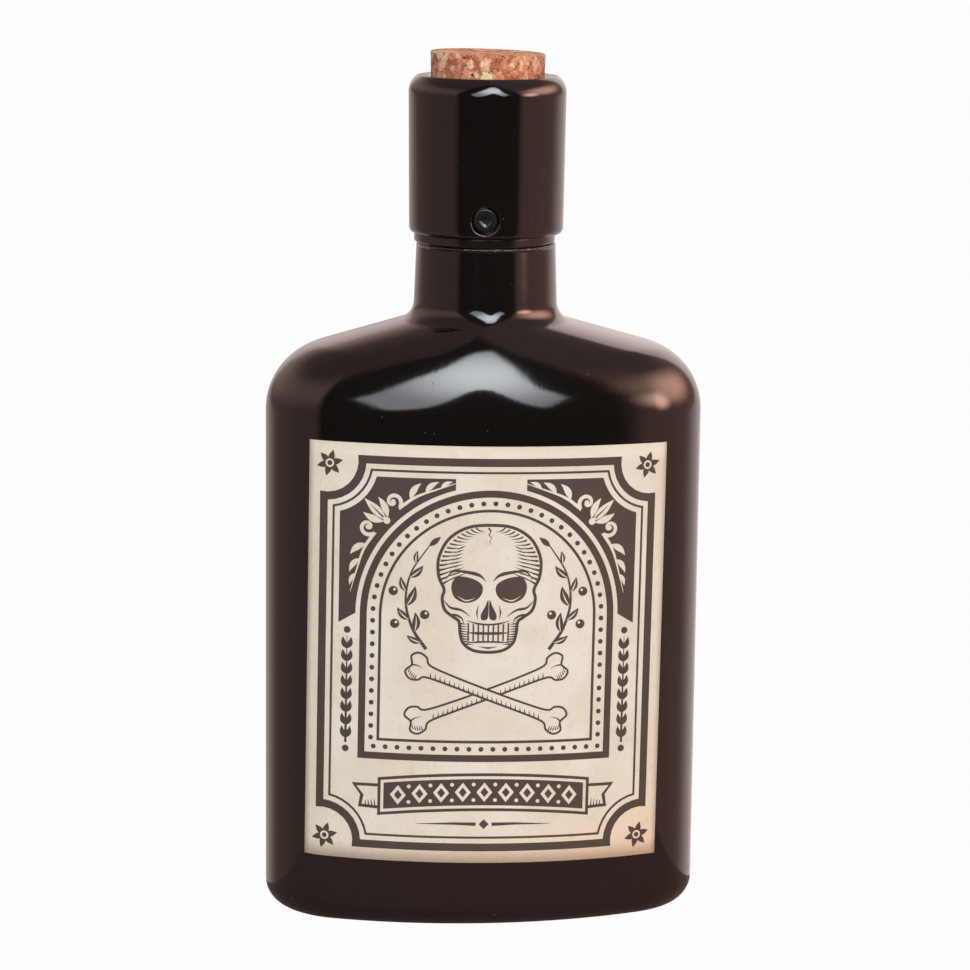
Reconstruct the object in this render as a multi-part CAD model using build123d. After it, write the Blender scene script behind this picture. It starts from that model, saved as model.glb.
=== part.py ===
from build123d import *
import math
import os

# A flask-shaped bottle with a screwed-on neck collar, a cork and a paper front label.
# Millimetres and degrees. +Z is up, the label faces -Y, and the origin is the middle of the base.

# Body: two broad faces, each one arc, joined by round ends
body_half_width = 44.0
body_half_depth = 22.4
body_end_radius = 17.7
base_edge_radius = 5.0
wall = 2.0
base_panel_inset = 9.0
base_panel_rise = 1.2

# Shoulder: seen from the front it turns in, slopes up and sweeps into the neck,
# and seen from the side it is one S of two arcs
shoulder_height = 102.4
side_shoulder_radius = 14.0
shoulder_slope = 15.5
side_foot_radius = 4.0
front_shoulder_radius = 25.5
front_foot_radius = 5.2

# Neck, and the plain finish above its step that the collar slips over
neck_foot_radius = 14.35
neck_top_radius = 13.9
neck_length = 11.9
neck_edge_radius = 0.3
finish_radius = 12.3
bore_radius = 10.3
lip_edge_radius = 0.4

# Loose ring between the neck's step and the collar
ring_radius = 14.1
ring_height = 1.8
ring_slack = 0.35
ring_side_gap = 0.05
ring_edge_radius = 0.5

# Collar
collar_foot_radius = 15.4
collar_crown_radius = 15.7
collar_height = 31.2
collar_foot_rounding = 1.1
collar_bevel_radius = 4.5
collar_bevel_height = 3.6
collar_mouth_rounding = 0.7
collar_clearance = 0.1
collar_lip_gap = 0.3

# Cork
cork_top_radius = 11.4
cork_taper = 1.3
cork_length = 18.9
cork_showing = 4.6
cork_top_slant = 1.3
cork_edge_chamfer = 0.25
cork_clearance = 0.08
cork_end_gap = 0.7

# Screw, set into the collar's front and a little to the left of the label's middle
screw_turn = -6.6
screw_height_over_ring = 3.8
screw_head_radius = 2.3
screw_head_height = 1.4
screw_head_rounding = 0.8
screw_core_radius = 1.25
screw_length = 4.5
screw_tip_length = 1.0
screw_tip_radius = 0.4
screw_cross_span = 2.4
screw_cross_width = 0.7
screw_cross_depth = 0.8
screw_hole_radius = 2.75
screw_hole_clearance = 0.2
screw_floor_thickness = 0.9

# Label: the paper's flat size, and where its middle lies on the front
label_width = 72.7
label_height = 84.4
label_thickness = 0.15
label_glue_thickness = 0.05
label_middle_height = 56.2
label_shift = -1.1
label_tilt = 0.7

# Worked out from the sizes above
end_share = (body_half_depth - body_end_radius) / (body_half_width - body_half_depth)
join_angle = math.atan(2 * end_share * (1 + end_share) / (1 + 2 * end_share))

side_turn = math.radians(90 - shoulder_slope)
side_bend_x = body_half_width - side_shoulder_radius
side_foot_x = neck_foot_radius + side_foot_radius
neck_foot_height = (
    shoulder_height
    + (side_shoulder_radius + side_foot_radius) / math.sin(side_turn)
    - (side_foot_x - side_bend_x) / math.tan(side_turn)
)

front_arcs = front_shoulder_radius + front_foot_radius
front_turn = math.acos(1 - (body_half_depth - neck_foot_radius) / front_arcs)
front_shoulder_height = neck_foot_height - front_arcs * math.sin(front_turn)

neck_step_height = neck_foot_height + neck_length
ring_top_height = neck_step_height + ring_height
collar_top_height = ring_top_height + collar_height
cork_top_height = collar_top_height + cork_showing
cork_bottom_height = cork_top_height - cork_length
lip_height = cork_bottom_height - cork_end_gap
collar_bore_radius = finish_radius + collar_clearance
screw_height = ring_top_height + screw_height_over_ring
screw_floor_radius = collar_bore_radius + screw_floor_thickness

BEND_STEPS = 6
SLOPE_STEPS = 3
FOOT_STEPS = 5


def flask_section(half_width, half_depth, height):
    """Face of the flask's plan at a height: its ends get rounder as it nears a circle."""
    spread = half_width - half_depth
    tip_radius = half_depth - end_share * spread
    join_x = (1 + end_share) * spread + tip_radius * math.sin(join_angle)
    join_y = tip_radius * math.cos(join_angle)
    front = ThreePointArc((-join_x, -join_y), (0, -half_depth), (join_x, -join_y))
    right = ThreePointArc((join_x, -join_y), (half_width, 0), (join_x, join_y))
    back = ThreePointArc((join_x, join_y), (0, half_depth), (-join_x, join_y))
    left = ThreePointArc((-join_x, join_y), (-half_width, 0), (-join_x, -join_y))
    return Pos(0, 0, height) * make_face([front, right, back, left])


def shoulder_reach(height, half_size, bend_radius, foot_radius, turn, start, inset):
    """Half size of the shoulder at a height, inside its outline by the inset."""
    bend = bend_radius - inset
    foot = foot_radius + inset
    bend_top = start + bend * math.sin(turn)
    foot_bottom = neck_foot_height - foot * math.sin(turn)
    if height <= start:
        return half_size - inset
    if height <= bend_top:
        return half_size - bend_radius + math.sqrt(bend ** 2 - (height - start) ** 2)
    if height < foot_bottom:
        slope_start = half_size - bend_radius + bend * math.cos(turn)
        return slope_start - (height - bend_top) * math.tan(turn)
    if height < neck_foot_height:
        drop = neck_foot_height - height
        return neck_foot_radius + foot_radius - math.sqrt(foot ** 2 - drop ** 2)
    return neck_foot_radius - inset


def shoulder_section(height, inset):
    """Plan of the shoulder at a height, from its front and side outlines."""
    half_width = shoulder_reach(
        height, body_half_width, side_shoulder_radius, side_foot_radius,
        side_turn, shoulder_height, inset,
    )
    half_depth = shoulder_reach(
        height, body_half_depth, front_shoulder_radius, front_foot_radius,
        front_turn, front_shoulder_height, inset,
    )
    return flask_section(half_width, half_depth, height)


def shoulder_stretches(inset):
    """Heights of the shoulder's sections, in its three stretches: bend, slope and foot."""
    bend = side_shoulder_radius - inset
    foot = side_foot_radius + inset
    bend_top = shoulder_height + bend * math.sin(side_turn)
    foot_bottom = neck_foot_height - foot * math.sin(side_turn)
    bend_heights = [
        shoulder_height + bend * math.sin(side_turn * step / BEND_STEPS)
        for step in range(BEND_STEPS + 1)
    ]
    slope_heights = [
        bend_top + (foot_bottom - bend_top) * step / SLOPE_STEPS
        for step in range(SLOPE_STEPS + 1)
    ]
    foot_heights = [
        neck_foot_height - foot * math.sin(side_turn * (1 - step / FOOT_STEPS))
        for step in range(FOOT_STEPS + 1)
    ]
    return [bend_heights, slope_heights, foot_heights]


def flask_hull(inset):
    """Solid of body and shoulder up to the foot of the neck, inside the outline by the inset."""
    plan = flask_section(body_half_width - inset, body_half_depth - inset, inset)
    body = extrude(plan, amount=shoulder_height - inset)
    bottom = body.edges().group_by(Axis.Z)[0]
    hull = fillet(bottom, base_edge_radius - inset)
    for heights in shoulder_stretches(inset):
        hull += loft([shoulder_section(height, inset) for height in heights])
    return hull


def turned(*edges):
    """Solid of revolution about Z of a closed outline drawn in X and Z."""
    return revolve(make_face(edges), axis=Axis.Z)


def disc_stack(*sizes):
    """Solid of revolution about Z through (radius, height) points, closed along the axis."""
    points = [(0, 0, sizes[0][1])] + [(r, 0, z) for r, z in sizes] + [(0, 0, sizes[-1][1])]
    return revolve(make_face(Polyline(*points, close=True)), axis=Axis.Z)


def toward_screw(shape):
    """Turn a shape made along +Z so that +Z points out along the screw's axis."""
    return Pos(0, 0, screw_height) * Rot(0, 0, screw_turn) * Rot(90, 0, 0) * shape


def radial_hole(radius, start, end):
    """Cutter on the screw's axis between two distances from the bottle's middle."""
    return toward_screw(Pos(0, 0, (start + end) / 2) * Cylinder(radius, end - start))


def make_bottle():
    """Hollow bottle with a panelled base, a sloping shoulder and a stepped neck."""
    neck = disc_stack((neck_foot_radius, neck_foot_height), (neck_top_radius, neck_step_height))
    neck = fillet(neck.edges().sort_by(Axis.Z)[-1], neck_edge_radius)
    finish = disc_stack((finish_radius, neck_foot_height), (finish_radius, lip_height))
    finish = fillet(finish.edges().sort_by(Axis.Z)[-1], lip_edge_radius)
    outside = flask_hull(0) + neck + finish

    throat_radius = neck_foot_radius - wall
    throat = disc_stack(
        (throat_radius, neck_foot_height),
        (bore_radius, neck_step_height),
        (bore_radius, lip_height + wall),
    )
    inside = flask_hull(wall) + throat

    panel_half_width = body_half_width - base_panel_inset
    panel_half_depth = body_half_depth - base_panel_inset
    panel_foot = flask_section(panel_half_width, panel_half_depth, 0)
    panel_roof = flask_section(
        panel_half_width - base_panel_rise, panel_half_depth - base_panel_rise, base_panel_rise
    )
    panel = loft([panel_foot, panel_roof], ruled=True)
    floor_foot = flask_section(panel_half_width + wall, panel_half_depth + wall, wall)
    floor_roof = flask_section(
        panel_half_width - base_panel_rise + wall,
        panel_half_depth - base_panel_rise + wall,
        base_panel_rise + wall,
    )
    raised_floor = loft([floor_foot, floor_roof], ruled=True)
    pilot = radial_hole(screw_core_radius, bore_radius - wall, finish_radius + wall)
    return outside - (inside - raised_floor) - panel - pilot


def make_ring():
    """Loose ring on the neck's step, lying to one side of the finish."""
    outer = Cylinder(ring_radius, ring_height)
    outer = fillet(outer.edges().sort_by(Axis.Z)[0], ring_edge_radius)
    ring = outer - Cylinder(finish_radius + ring_slack, ring_height)
    shift = ring_slack - ring_side_gap
    return Pos(-shift, 0, neck_step_height + ring_height / 2) * ring


def cork_radius(height):
    """Radius of the tapered cork at a height."""
    return cork_top_radius - (cork_top_height - height) * math.tan(math.radians(cork_taper))


def make_collar():
    """Thick sleeve that seats on the ring, with a bevelled crown and the cork's tapered mouth."""
    foot = ring_top_height
    bevel_foot = collar_top_height - collar_bevel_height
    bevel_x = collar_crown_radius - collar_bevel_radius
    bevel_end = math.asin(collar_bevel_height / collar_bevel_radius)
    crown_edge = bevel_x + collar_bevel_radius * math.cos(bevel_end)
    bevel_middle = (
        bevel_x + collar_bevel_radius * math.cos(bevel_end / 2),
        0,
        bevel_foot + collar_bevel_radius * math.sin(bevel_end / 2),
    )
    seat_foot = lip_height + collar_lip_gap
    seat_foot_radius = cork_radius(seat_foot) + cork_clearance
    mouth_radius = cork_radius(collar_top_height) + cork_clearance
    sleeve = turned(
        Line((collar_bore_radius, 0, foot), (collar_foot_radius, 0, foot)),
        Line((collar_foot_radius, 0, foot), (collar_crown_radius, 0, bevel_foot)),
        ThreePointArc(
            (collar_crown_radius, 0, bevel_foot), bevel_middle, (crown_edge, 0, collar_top_height)
        ),
        Line((crown_edge, 0, collar_top_height), (mouth_radius, 0, collar_top_height)),
        Line((mouth_radius, 0, collar_top_height), (seat_foot_radius, 0, seat_foot)),
        Line((seat_foot_radius, 0, seat_foot), (collar_bore_radius, 0, seat_foot)),
        Line((collar_bore_radius, 0, seat_foot), (collar_bore_radius, 0, foot)),
    )
    foot_edge = sleeve.edges().group_by(Axis.Z)[0].sort_by(SortBy.RADIUS)[-1]
    sleeve = fillet(foot_edge, collar_foot_rounding)
    mouth_edge = sleeve.edges().group_by(Axis.Z)[-1].sort_by(SortBy.RADIUS)[0]
    sleeve = fillet(mouth_edge, collar_mouth_rounding)
    head_hole = radial_hole(screw_hole_radius, screw_floor_radius, collar_crown_radius + wall)
    shank_radius = screw_core_radius + screw_hole_clearance
    shank_hole = radial_hole(shank_radius, bore_radius, collar_crown_radius)
    return sleeve - head_hole - shank_hole


def make_screw():
    """Pan-head screw with a cross recess, its core filling the pilot hole in the neck."""
    head = Pos(0, 0, screw_floor_radius + screw_head_height / 2) * Cylinder(
        screw_head_radius, screw_head_height
    )
    head = fillet(head.edges().sort_by(Axis.Z)[-1], screw_head_rounding)
    head_top = screw_floor_radius + screw_head_height
    slot = Box(screw_cross_span, screw_cross_width, 2 * screw_cross_depth)
    cross = Pos(0, 0, head_top) * (slot + Rot(0, 0, 90) * slot)
    tip = screw_floor_radius - screw_length
    shank = disc_stack(
        (screw_tip_radius, tip),
        (screw_core_radius, tip + screw_tip_length),
        (screw_core_radius, screw_floor_radius),
    )
    return toward_screw(head - cross + shank)


def make_cork():
    """Tapered cork with a slightly slanting top."""
    rise = cork_top_radius * math.tan(math.radians(cork_top_slant))
    blank_top = cork_top_height + 2 * rise
    cork = disc_stack(
        (cork_radius(cork_bottom_height), cork_bottom_height), (cork_radius(blank_top), blank_top)
    )
    cap = Box(4 * cork_top_radius, 4 * cork_top_radius, cork_length)
    cap = Rot(0, cork_top_slant, 0) * Pos(0, 0, cork_length / 2) * cap
    cork = cork - Pos(0, 0, cork_top_height) * cap
    ends = cork.edges().filter_by(GeomType.LINE, reverse=True)
    rims = [ends.sort_by(Axis.Z)[0], ends.sort_by(Axis.Z)[-1]]
    return chamfer(rims, cork_edge_chamfer)


def front_x(arc_length):
    """X of a point on the body's front, a distance along the surface from the middle."""
    spread = body_half_width - body_half_depth
    face_radius = body_half_depth + spread * (1 + 2 * end_share) / (2 * end_share)
    face_length = face_radius * join_angle
    distance = abs(arc_length)
    if distance <= face_length:
        x = face_radius * math.sin(distance / face_radius)
    else:
        end_angle = join_angle + (distance - face_length) / body_end_radius
        x = (1 + end_share) * spread + body_end_radius * math.sin(end_angle)
    return math.copysign(x, arc_length)


def make_label():
    """Sheet of paper that follows the body's front, a little out of square."""
    left = front_x(label_shift - label_width / 2)
    right = front_x(label_shift + label_width / 2)
    under = label_glue_thickness
    over = label_glue_thickness + label_thickness
    outer_plan = flask_section(body_half_width + over, body_half_depth + over, 0)
    inner_plan = flask_section(body_half_width + under, body_half_depth + under, 0)
    paper = extrude(outer_plan - inner_plan, amount=shoulder_height)
    reach = body_half_depth + wall
    sheet = Rot(0, label_tilt, 0) * Box(right - left, reach, label_height)
    return paper & Pos((left + right) / 2, -reach / 2, label_middle_height) * sheet


parts = {
    "bottle": make_bottle(),
    "neck_ring": make_ring(),
    "collar": make_collar(),
    "collar_screw": make_screw(),
    "cork": make_cork(),
    "front_label": make_label(),
}

os.makedirs("parts", exist_ok=True)
for name, part in parts.items():
    export_step(part, f"parts/{name}.step")
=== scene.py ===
import math

import bpy
import numpy as np
from mathutils import Matrix, Vector
from mathutils.geometry import delaunay_2d_cdt


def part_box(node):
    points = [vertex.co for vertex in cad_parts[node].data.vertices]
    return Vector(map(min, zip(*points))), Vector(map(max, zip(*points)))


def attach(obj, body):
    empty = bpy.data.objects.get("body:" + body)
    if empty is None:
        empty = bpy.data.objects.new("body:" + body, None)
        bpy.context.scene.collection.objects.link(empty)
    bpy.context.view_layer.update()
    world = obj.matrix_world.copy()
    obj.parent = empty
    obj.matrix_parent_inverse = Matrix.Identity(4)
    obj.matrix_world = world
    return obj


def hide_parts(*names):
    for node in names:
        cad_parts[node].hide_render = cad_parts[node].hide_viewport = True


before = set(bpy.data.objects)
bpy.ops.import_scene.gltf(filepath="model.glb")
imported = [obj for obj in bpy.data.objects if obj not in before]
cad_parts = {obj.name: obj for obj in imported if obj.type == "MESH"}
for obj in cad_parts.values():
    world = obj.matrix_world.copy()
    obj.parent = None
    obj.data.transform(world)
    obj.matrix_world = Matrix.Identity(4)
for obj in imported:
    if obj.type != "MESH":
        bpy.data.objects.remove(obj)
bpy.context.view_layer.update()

# Looks of a black flask bottle with a collar, a cork and a paper label.
# Metres, in the frame: +Z is up and the label faces -Y. Shape sizes are the real ones.
MM = 0.001

# Sizes read from the frame
bottle_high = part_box("bottle")[1]
ring_low, ring_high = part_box("neck_ring")
collar_low, collar_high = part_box("collar")
cork_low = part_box("cork")[0]
body_half_width = bottle_high.x
body_half_depth = bottle_high.y
lip_height = bottle_high.z
neck_step_height = ring_low.z
collar_foot = collar_low.z
collar_top = collar_high.z
collar_crown_radius = collar_high.x

# Body and shoulder
body_end_radius = 17.7 * MM
base_edge_radius = 5.0 * MM
wall = 2.0 * MM
base_panel_inset = 9.0 * MM
base_panel_rise = 1.2 * MM
base_edge_steps = 10
base_flat_margin = 0.5 * MM
wall_foot_margin = 0.6 * MM
shoulder_height = 102.4 * MM
side_shoulder_radius = 14.0 * MM
shoulder_slope = math.radians(15.5)
side_foot_radius = 4.0 * MM
front_shoulder_radius = 25.5 * MM
front_foot_radius = 5.2 * MM

# Neck and finish
neck_length = 11.9 * MM
neck_foot_radius = 14.35 * MM
neck_top_radius = 13.9 * MM
neck_edge_radius = 0.45 * MM
neck_corner_rounding = 0.1 * MM
finish_radius = 12.3 * MM
bore_radius = 10.3 * MM
bore_foot_rounding = 1.0 * MM
lip_edge_radius = 0.4 * MM

# Neck ring
ring_hole_radius = 12.65 * MM
ring_edge_radius = 0.5 * MM
ring_soft_edge = 0.15 * MM
ring_columns = 160

# Collar
collar_foot_radius = 15.4 * MM
collar_foot_rounding = 1.1 * MM
collar_bevel_radius = 4.0 * MM
collar_bevel_height = 3.3 * MM
collar_crown_rounding = 0.3 * MM
collar_mouth_rounding = 0.7 * MM
collar_bore_radius = 12.4 * MM
collar_bore_rounding = 0.2 * MM
collar_wall_draw = 0.02 * MM
collar_wall_top_margin = 0.6 * MM
cork_seat_rounding = 0.1 * MM
collar_lip_gap = 0.3 * MM
collar_columns = 192

# Cork
cork_top_radius = 11.4 * MM
cork_taper = math.radians(1.3)
cork_top_slant = math.radians(1.3)
cork_edge_rounding = 0.35 * MM
cork_clearance = 0.08 * MM
cork_middle_height = collar_top + 4.6 * MM
coarse_granule = 2.6 * MM
fine_granule = 0.95 * MM
granule_bend = 0.6
granule_relief = 0.05 * MM
pit_size = 0.9 * MM
pit_depth = 0.28 * MM
cork_pole_radius = 0.3 * MM
cork_mesh_step = 0.35 * MM
cork_columns = 240
cork_seed = 0
seed_spacing = 0.1

# Screw and the pocket it sits in
screw_turn = math.radians(-6.6)
screw_height = collar_foot + 3.8 * MM
screw_head_radius = 2.3 * MM
screw_head_height = 1.4 * MM
screw_core_radius = 1.25 * MM
screw_length = 4.5 * MM
screw_tip_length = 0.3 * MM
screw_columns = 96
head_foot_rounding = 0.12 * MM
head_edge_rounding = 0.22 * MM
head_flat_share = 0.7
thread_pitch = 1.1 * MM
thread_height = 0.28 * MM
thread_rows = 48
thread_tip_share = 0.35
thread_tip_growth = 2.6
ridge_sharpness = 5
ridge_growth = 4
recess_half_span = 1.3 * MM
recess_rim_slope = 0.27
recess_depth = 0.75 * MM
recess_roundness = 1.3
recess_rows = 20
recess_pit_edge = 0.5
recess_pit_slope = 0.35
pocket_radius = 2.75 * MM
pocket_rim_rounding = 0.28 * MM
pocket_floor_radius = 13.3 * MM
rim_steps = 6

# Patch of the collar's wall that the pocket opens in
patch_foot = collar_foot + 0.32 * MM
patch_top = collar_foot + 7.3 * MM
patch_rows = 12
patch_half_columns = 7

# Label
label_width = 72.7 * MM
label_height = 84.4 * MM
label_thickness = 0.15 * MM
label_glue_thickness = 0.05 * MM
label_middle_height = 56.2 * MM
label_shift = -1.1 * MM
label_tilt = math.radians(0.7)
label_top_lift = label_glue_thickness + label_thickness
sheet_columns = 60
sheet_rows = 24
ink_rise = 0.02 * MM
ink_sink = 0.01 * MM

# Drawing on the label, in millimetres from its middle
sheet_half_width = label_width / MM / 2
sheet_half_height = label_height / MM / 2
frame_inset = 2.4
frame_rules = (frame_inset, 4.0, 5.0, 5.45)
rosette_inset = 4.3
notch_inset = 3.6
notch_radius = 6.5
window_middle = 8.0
window_reach = 25.5
window_sill = -21.4
window_rules = (0.0, 1.4, 3.8, 4.35)
window_margin = 0.9
bead_inset = 2.6
bead_radius = 0.5
bead_count = 72
bead_sides = 12
palmette_middle = (21.7, 28.2)
palmette_turn = math.radians(43.1)
stem_place = 28.0
skull_middle = (0.0, 14.6)
skull_scale = 0.83
bone_crossing = (0.0, -7.6)
bone_half_length = 15.0
bone_slope = math.radians(21)
ribbon_crown = -27.6
ribbon_sag = 0.0032
ribbon_half_length = 21.3
ribbon_half_width = 3.9
ribbon_rules = (0.0, 0.6, 1.2)
tail_root = 17.6
diamond_spacing = 4.3

# Camera, found from the bottle's outline in the photograph
camera_distance = 0.700
camera_azimuth = math.radians(-6.04)
camera_elevation = math.radians(10.52)
camera_roll = math.radians(0.66)
camera_lens = 128.30
camera_aim = Vector((0.37 * MM, 0.0, 86.61 * MM))

# Floor
near_floor_reach = 0.095
near_floor_shift = -0.070
far_floor_reach = 8.0
floor_columns = 96
floor_cloud_size = 0.2
floor_whiteness = 0.985

# Studio. A place in it is a turn to the right of the camera and a rise, in degrees. A pair is
# where a soft edge starts and ends, or the values there, unless its name says otherwise.
band_rise = 18.0
band_half_height = (20.0, 3.0)
ceiling_start = (32.0, 44.0)
back_turn = -5.0
back_start = 148.0
back_low_rise = (2.0, -8.0)
back_low_spread = 23.0
back_top = (22.0, 41.0)
back_left_glow = (0.64, 1.02)
back_right_glow = (0.92, 1.52)
back_middle_glow = 0.62
back_tint = (1.15, 0.94, 0.89)
dark_front_turn = 2.5
dark_front_edge = (1.13, 0.83)
dark_front_half_width = 48.0
dark_front_height = 62.0
dark_front_roundness = 1.3
streak_middle = (90.0, 18.5)
streak_half_size = (29.0, 12.0)
lamp_middle = (66.0, 6.5)
lamp_half_size = (11.0, 6.5)
oval_softness = 0.75

# The softbox is widest at its shoulder; it loses a share of each degree above and below that.
softbox_shoulder = 10.0
softbox_half_width = 25.8
softbox_narrowing = 0.46
softbox_foot_narrowing = 0.75
softbox_wings = 2.6
softbox_lean = (3.4, 9.6)
softbox_foot = (-2.5, 1.0)
softbox_top = (55.5, 51.0)
softbox_tint = (0.95, 1.0, 1.06)
camera_shade_turn = 8.5
camera_shade_half_width = 8.5
camera_shade_top = 18.0
glow_middle = (9.0, 31.0)
glow_reach = (32.0, 3.0)
glow_strength = (2.6, 8.9)

# Paint, and the flats that an outline keeps beside its roundings
paint_ior = 1.65
flat_share = 0.3
least_flat = 0.05 * MM

# Worked out from the sizes above
body_spread = body_half_width - body_half_depth
end_share = (body_half_depth - body_end_radius) / body_spread
join_angle = math.atan(2 * end_share * (1 + end_share) / (1 + 2 * end_share))
face_radius = body_half_depth + body_spread * (1 + 2 * end_share) / (2 * end_share)
neck_foot_height = neck_step_height - neck_length
side_turn = math.pi / 2 - shoulder_slope
front_arcs = front_shoulder_radius + front_foot_radius
front_turn = math.acos(1 - (body_half_depth - neck_foot_radius) / front_arcs)
front_shoulder_height = neck_foot_height - front_arcs * math.sin(front_turn)


class Wire:
    """An output of a node, on which Python's operators add Math nodes."""

    def __init__(self, board, socket):
        self.board = board
        self.socket = socket

    def maths(self, operation, first, second):
        """The result of a Math node on two values."""
        return self.board.add("ShaderNodeMath", {"operation": operation}, {0: first, 1: second})

    def __add__(self, other):
        return self.maths("ADD", self, other)

    def __radd__(self, other):
        return self.maths("ADD", other, self)

    def __sub__(self, other):
        return self.maths("SUBTRACT", self, other)

    def __rsub__(self, other):
        return self.maths("SUBTRACT", other, self)

    def __mul__(self, other):
        return self.maths("MULTIPLY", self, other)

    def __rmul__(self, other):
        return self.maths("MULTIPLY", other, self)

    def __truediv__(self, other):
        return self.maths("DIVIDE", self, other)

    def __rtruediv__(self, other):
        return self.maths("DIVIDE", other, self)

    def __pow__(self, other):
        return self.maths("POWER", self, other)

    def __rpow__(self, other):
        return self.maths("POWER", other, self)

    def __abs__(self):
        return self.maths("ABSOLUTE", self, 0.0)


class Board:
    """A node tree under construction."""

    def __init__(self, tree):
        self.tree = tree
        tree.nodes.clear()

    def socket(self, sockets, key):
        """A socket by its place, its identifier or its name."""
        if isinstance(key, int):
            return sockets[key]
        named = [s for s in sockets if s.identifier == key]
        return named[0] if named else sockets[key]

    def add(self, kind, settings=None, inputs=None, output=0):
        """A new node, with its settings first and then its sockets; gives one of its outputs."""
        node = self.tree.nodes.new(kind)
        for name, value in (settings or {}).items():
            if name == "stops":
                self.set_stops(node.color_ramp, value)
            else:
                setattr(node, name, value)
        for key, value in (inputs or {}).items():
            socket = self.socket(node.inputs, key)
            if isinstance(value, Wire):
                self.tree.links.new(value.socket, socket)
            else:
                socket.default_value = value
        return Wire(self, self.socket(node.outputs, output)) if node.outputs else node

    def set_stops(self, ramp, stops):
        """Places a ramp's stops, each (place, colour)."""
        while len(ramp.elements) < len(stops):
            ramp.elements.new(0.5)
        for element, (place, colour) in zip(ramp.elements, stops):
            element.position = place
            element.color = (*colour, 1.0)

    def mix(self, share, first, second, mode="MIX"):
        """A mix of two colours."""
        return self.add(
            "ShaderNodeMix",
            {"data_type": "RGBA", "blend_type": mode},
            {"Factor_Float": share, "A_Color": first, "B_Color": second},
            "Result_Color",
        )

    def between(self, value, low, high, at_low=0.0, at_high=1.0):
        """A smooth step of a value from low to high."""
        return self.add(
            "ShaderNodeMapRange",
            {"interpolation_type": "SMOOTHSTEP"},
            {"Value": value, "From Min": low, "From Max": high,
             "To Min": at_low, "To Max": at_high},
            "Result",
        )

    def place(self):
        """The point on the piece, in Object coordinates."""
        return self.add("ShaderNodeTexCoord", output="Object")

    def axis(self, vector, name):
        """One coordinate of a vector."""
        return self.add("ShaderNodeSeparateXYZ", None, {"Vector": vector}, name)

    def along(self, vector, direction):
        """How far a vector reaches along a direction."""
        return self.add("ShaderNodeVectorMath", {"operation": "DOT_PRODUCT"},
                        {0: vector, 1: direction}, "Value")

    def ray(self, kind):
        """1 for one kind of ray and 0 for the others."""
        return self.add("ShaderNodeLightPath", output=f"Is {kind} Ray")

    def grain(self, vector, size, detail=2.0, roughness=0.5, output="Fac"):
        """Noise with features about as large as the size."""
        return self.add(
            "ShaderNodeTexNoise",
            {"noise_dimensions": "3D"},
            {"Vector": vector, "Scale": 1 / size, "Detail": detail, "Roughness": roughness},
            output,
        )

    def cells(self, vector, size, feature="F1", output="Distance"):
        """Random cells about as large as the size: a colour for each, or a distance in them."""
        return self.add("ShaderNodeTexVoronoi", {"feature": feature},
                        {"Vector": vector, "Scale": 1 / size}, output)

    def stretched(self, vector, scale):
        """A vector scaled by a different amount along each axis."""
        return self.add(
            "ShaderNodeMapping", {"vector_type": "POINT"}, {"Vector": vector, "Scale": scale}
        )

    def tinted(self, strength, tint):
        """A light of a strength, with the tint's share of red, green and blue."""
        red, green, blue = tint
        return self.add("ShaderNodeCombineColor", None, {
            "Red": strength * red, "Green": strength * green, "Blue": strength * blue,
        }, "Color")

    def relief(self, *layers):
        """Bumps laid one over another, each a height and its depth in metres."""
        normal = {}
        for height, depth in layers:
            inputs = {"Height": height, "Distance": depth, "Strength": 1.0, **normal}
            normal = {"Normal": self.add("ShaderNodeBump", None, inputs, "Normal")}
        return normal["Normal"]


def colour(red, green, blue):
    """A colour for a socket."""
    return (red, green, blue, 1.0)


# Tones of the floor, and lights of the studio
near_floor_tones = (colour(0.37, 0.25, 0.21), colour(0.41, 0.28, 0.235))
far_floor_tones = (colour(0.40, 0.37, 0.37), colour(0.44, 0.41, 0.41))
white_light = colour(1.0, 1.0, 1.0)
dark_front_tone = colour(0.036, 0.029, 0.025)
streak_light = colour(5.6, 3.1, 2.35)
lamp_light = colour(9.6, 5.6, 4.3)
paper_light = colour(0.36, 0.37, 0.40)


def new_finish(name):
    """An empty node material and its board."""
    material = bpy.data.materials.new(name)
    material.use_nodes = True
    return material, Board(material.node_tree)


def finish_surface(board, tone, roughness, relief, **others):
    """Ends a material with its surface shader."""
    surface = board.add("ShaderNodeBsdfPrincipled", None, {
        "Base Color": tone, "Roughness": roughness, "Normal": relief, **others,
    }, "BSDF")
    board.add("ShaderNodeOutputMaterial", None, {"Surface": surface})


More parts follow.
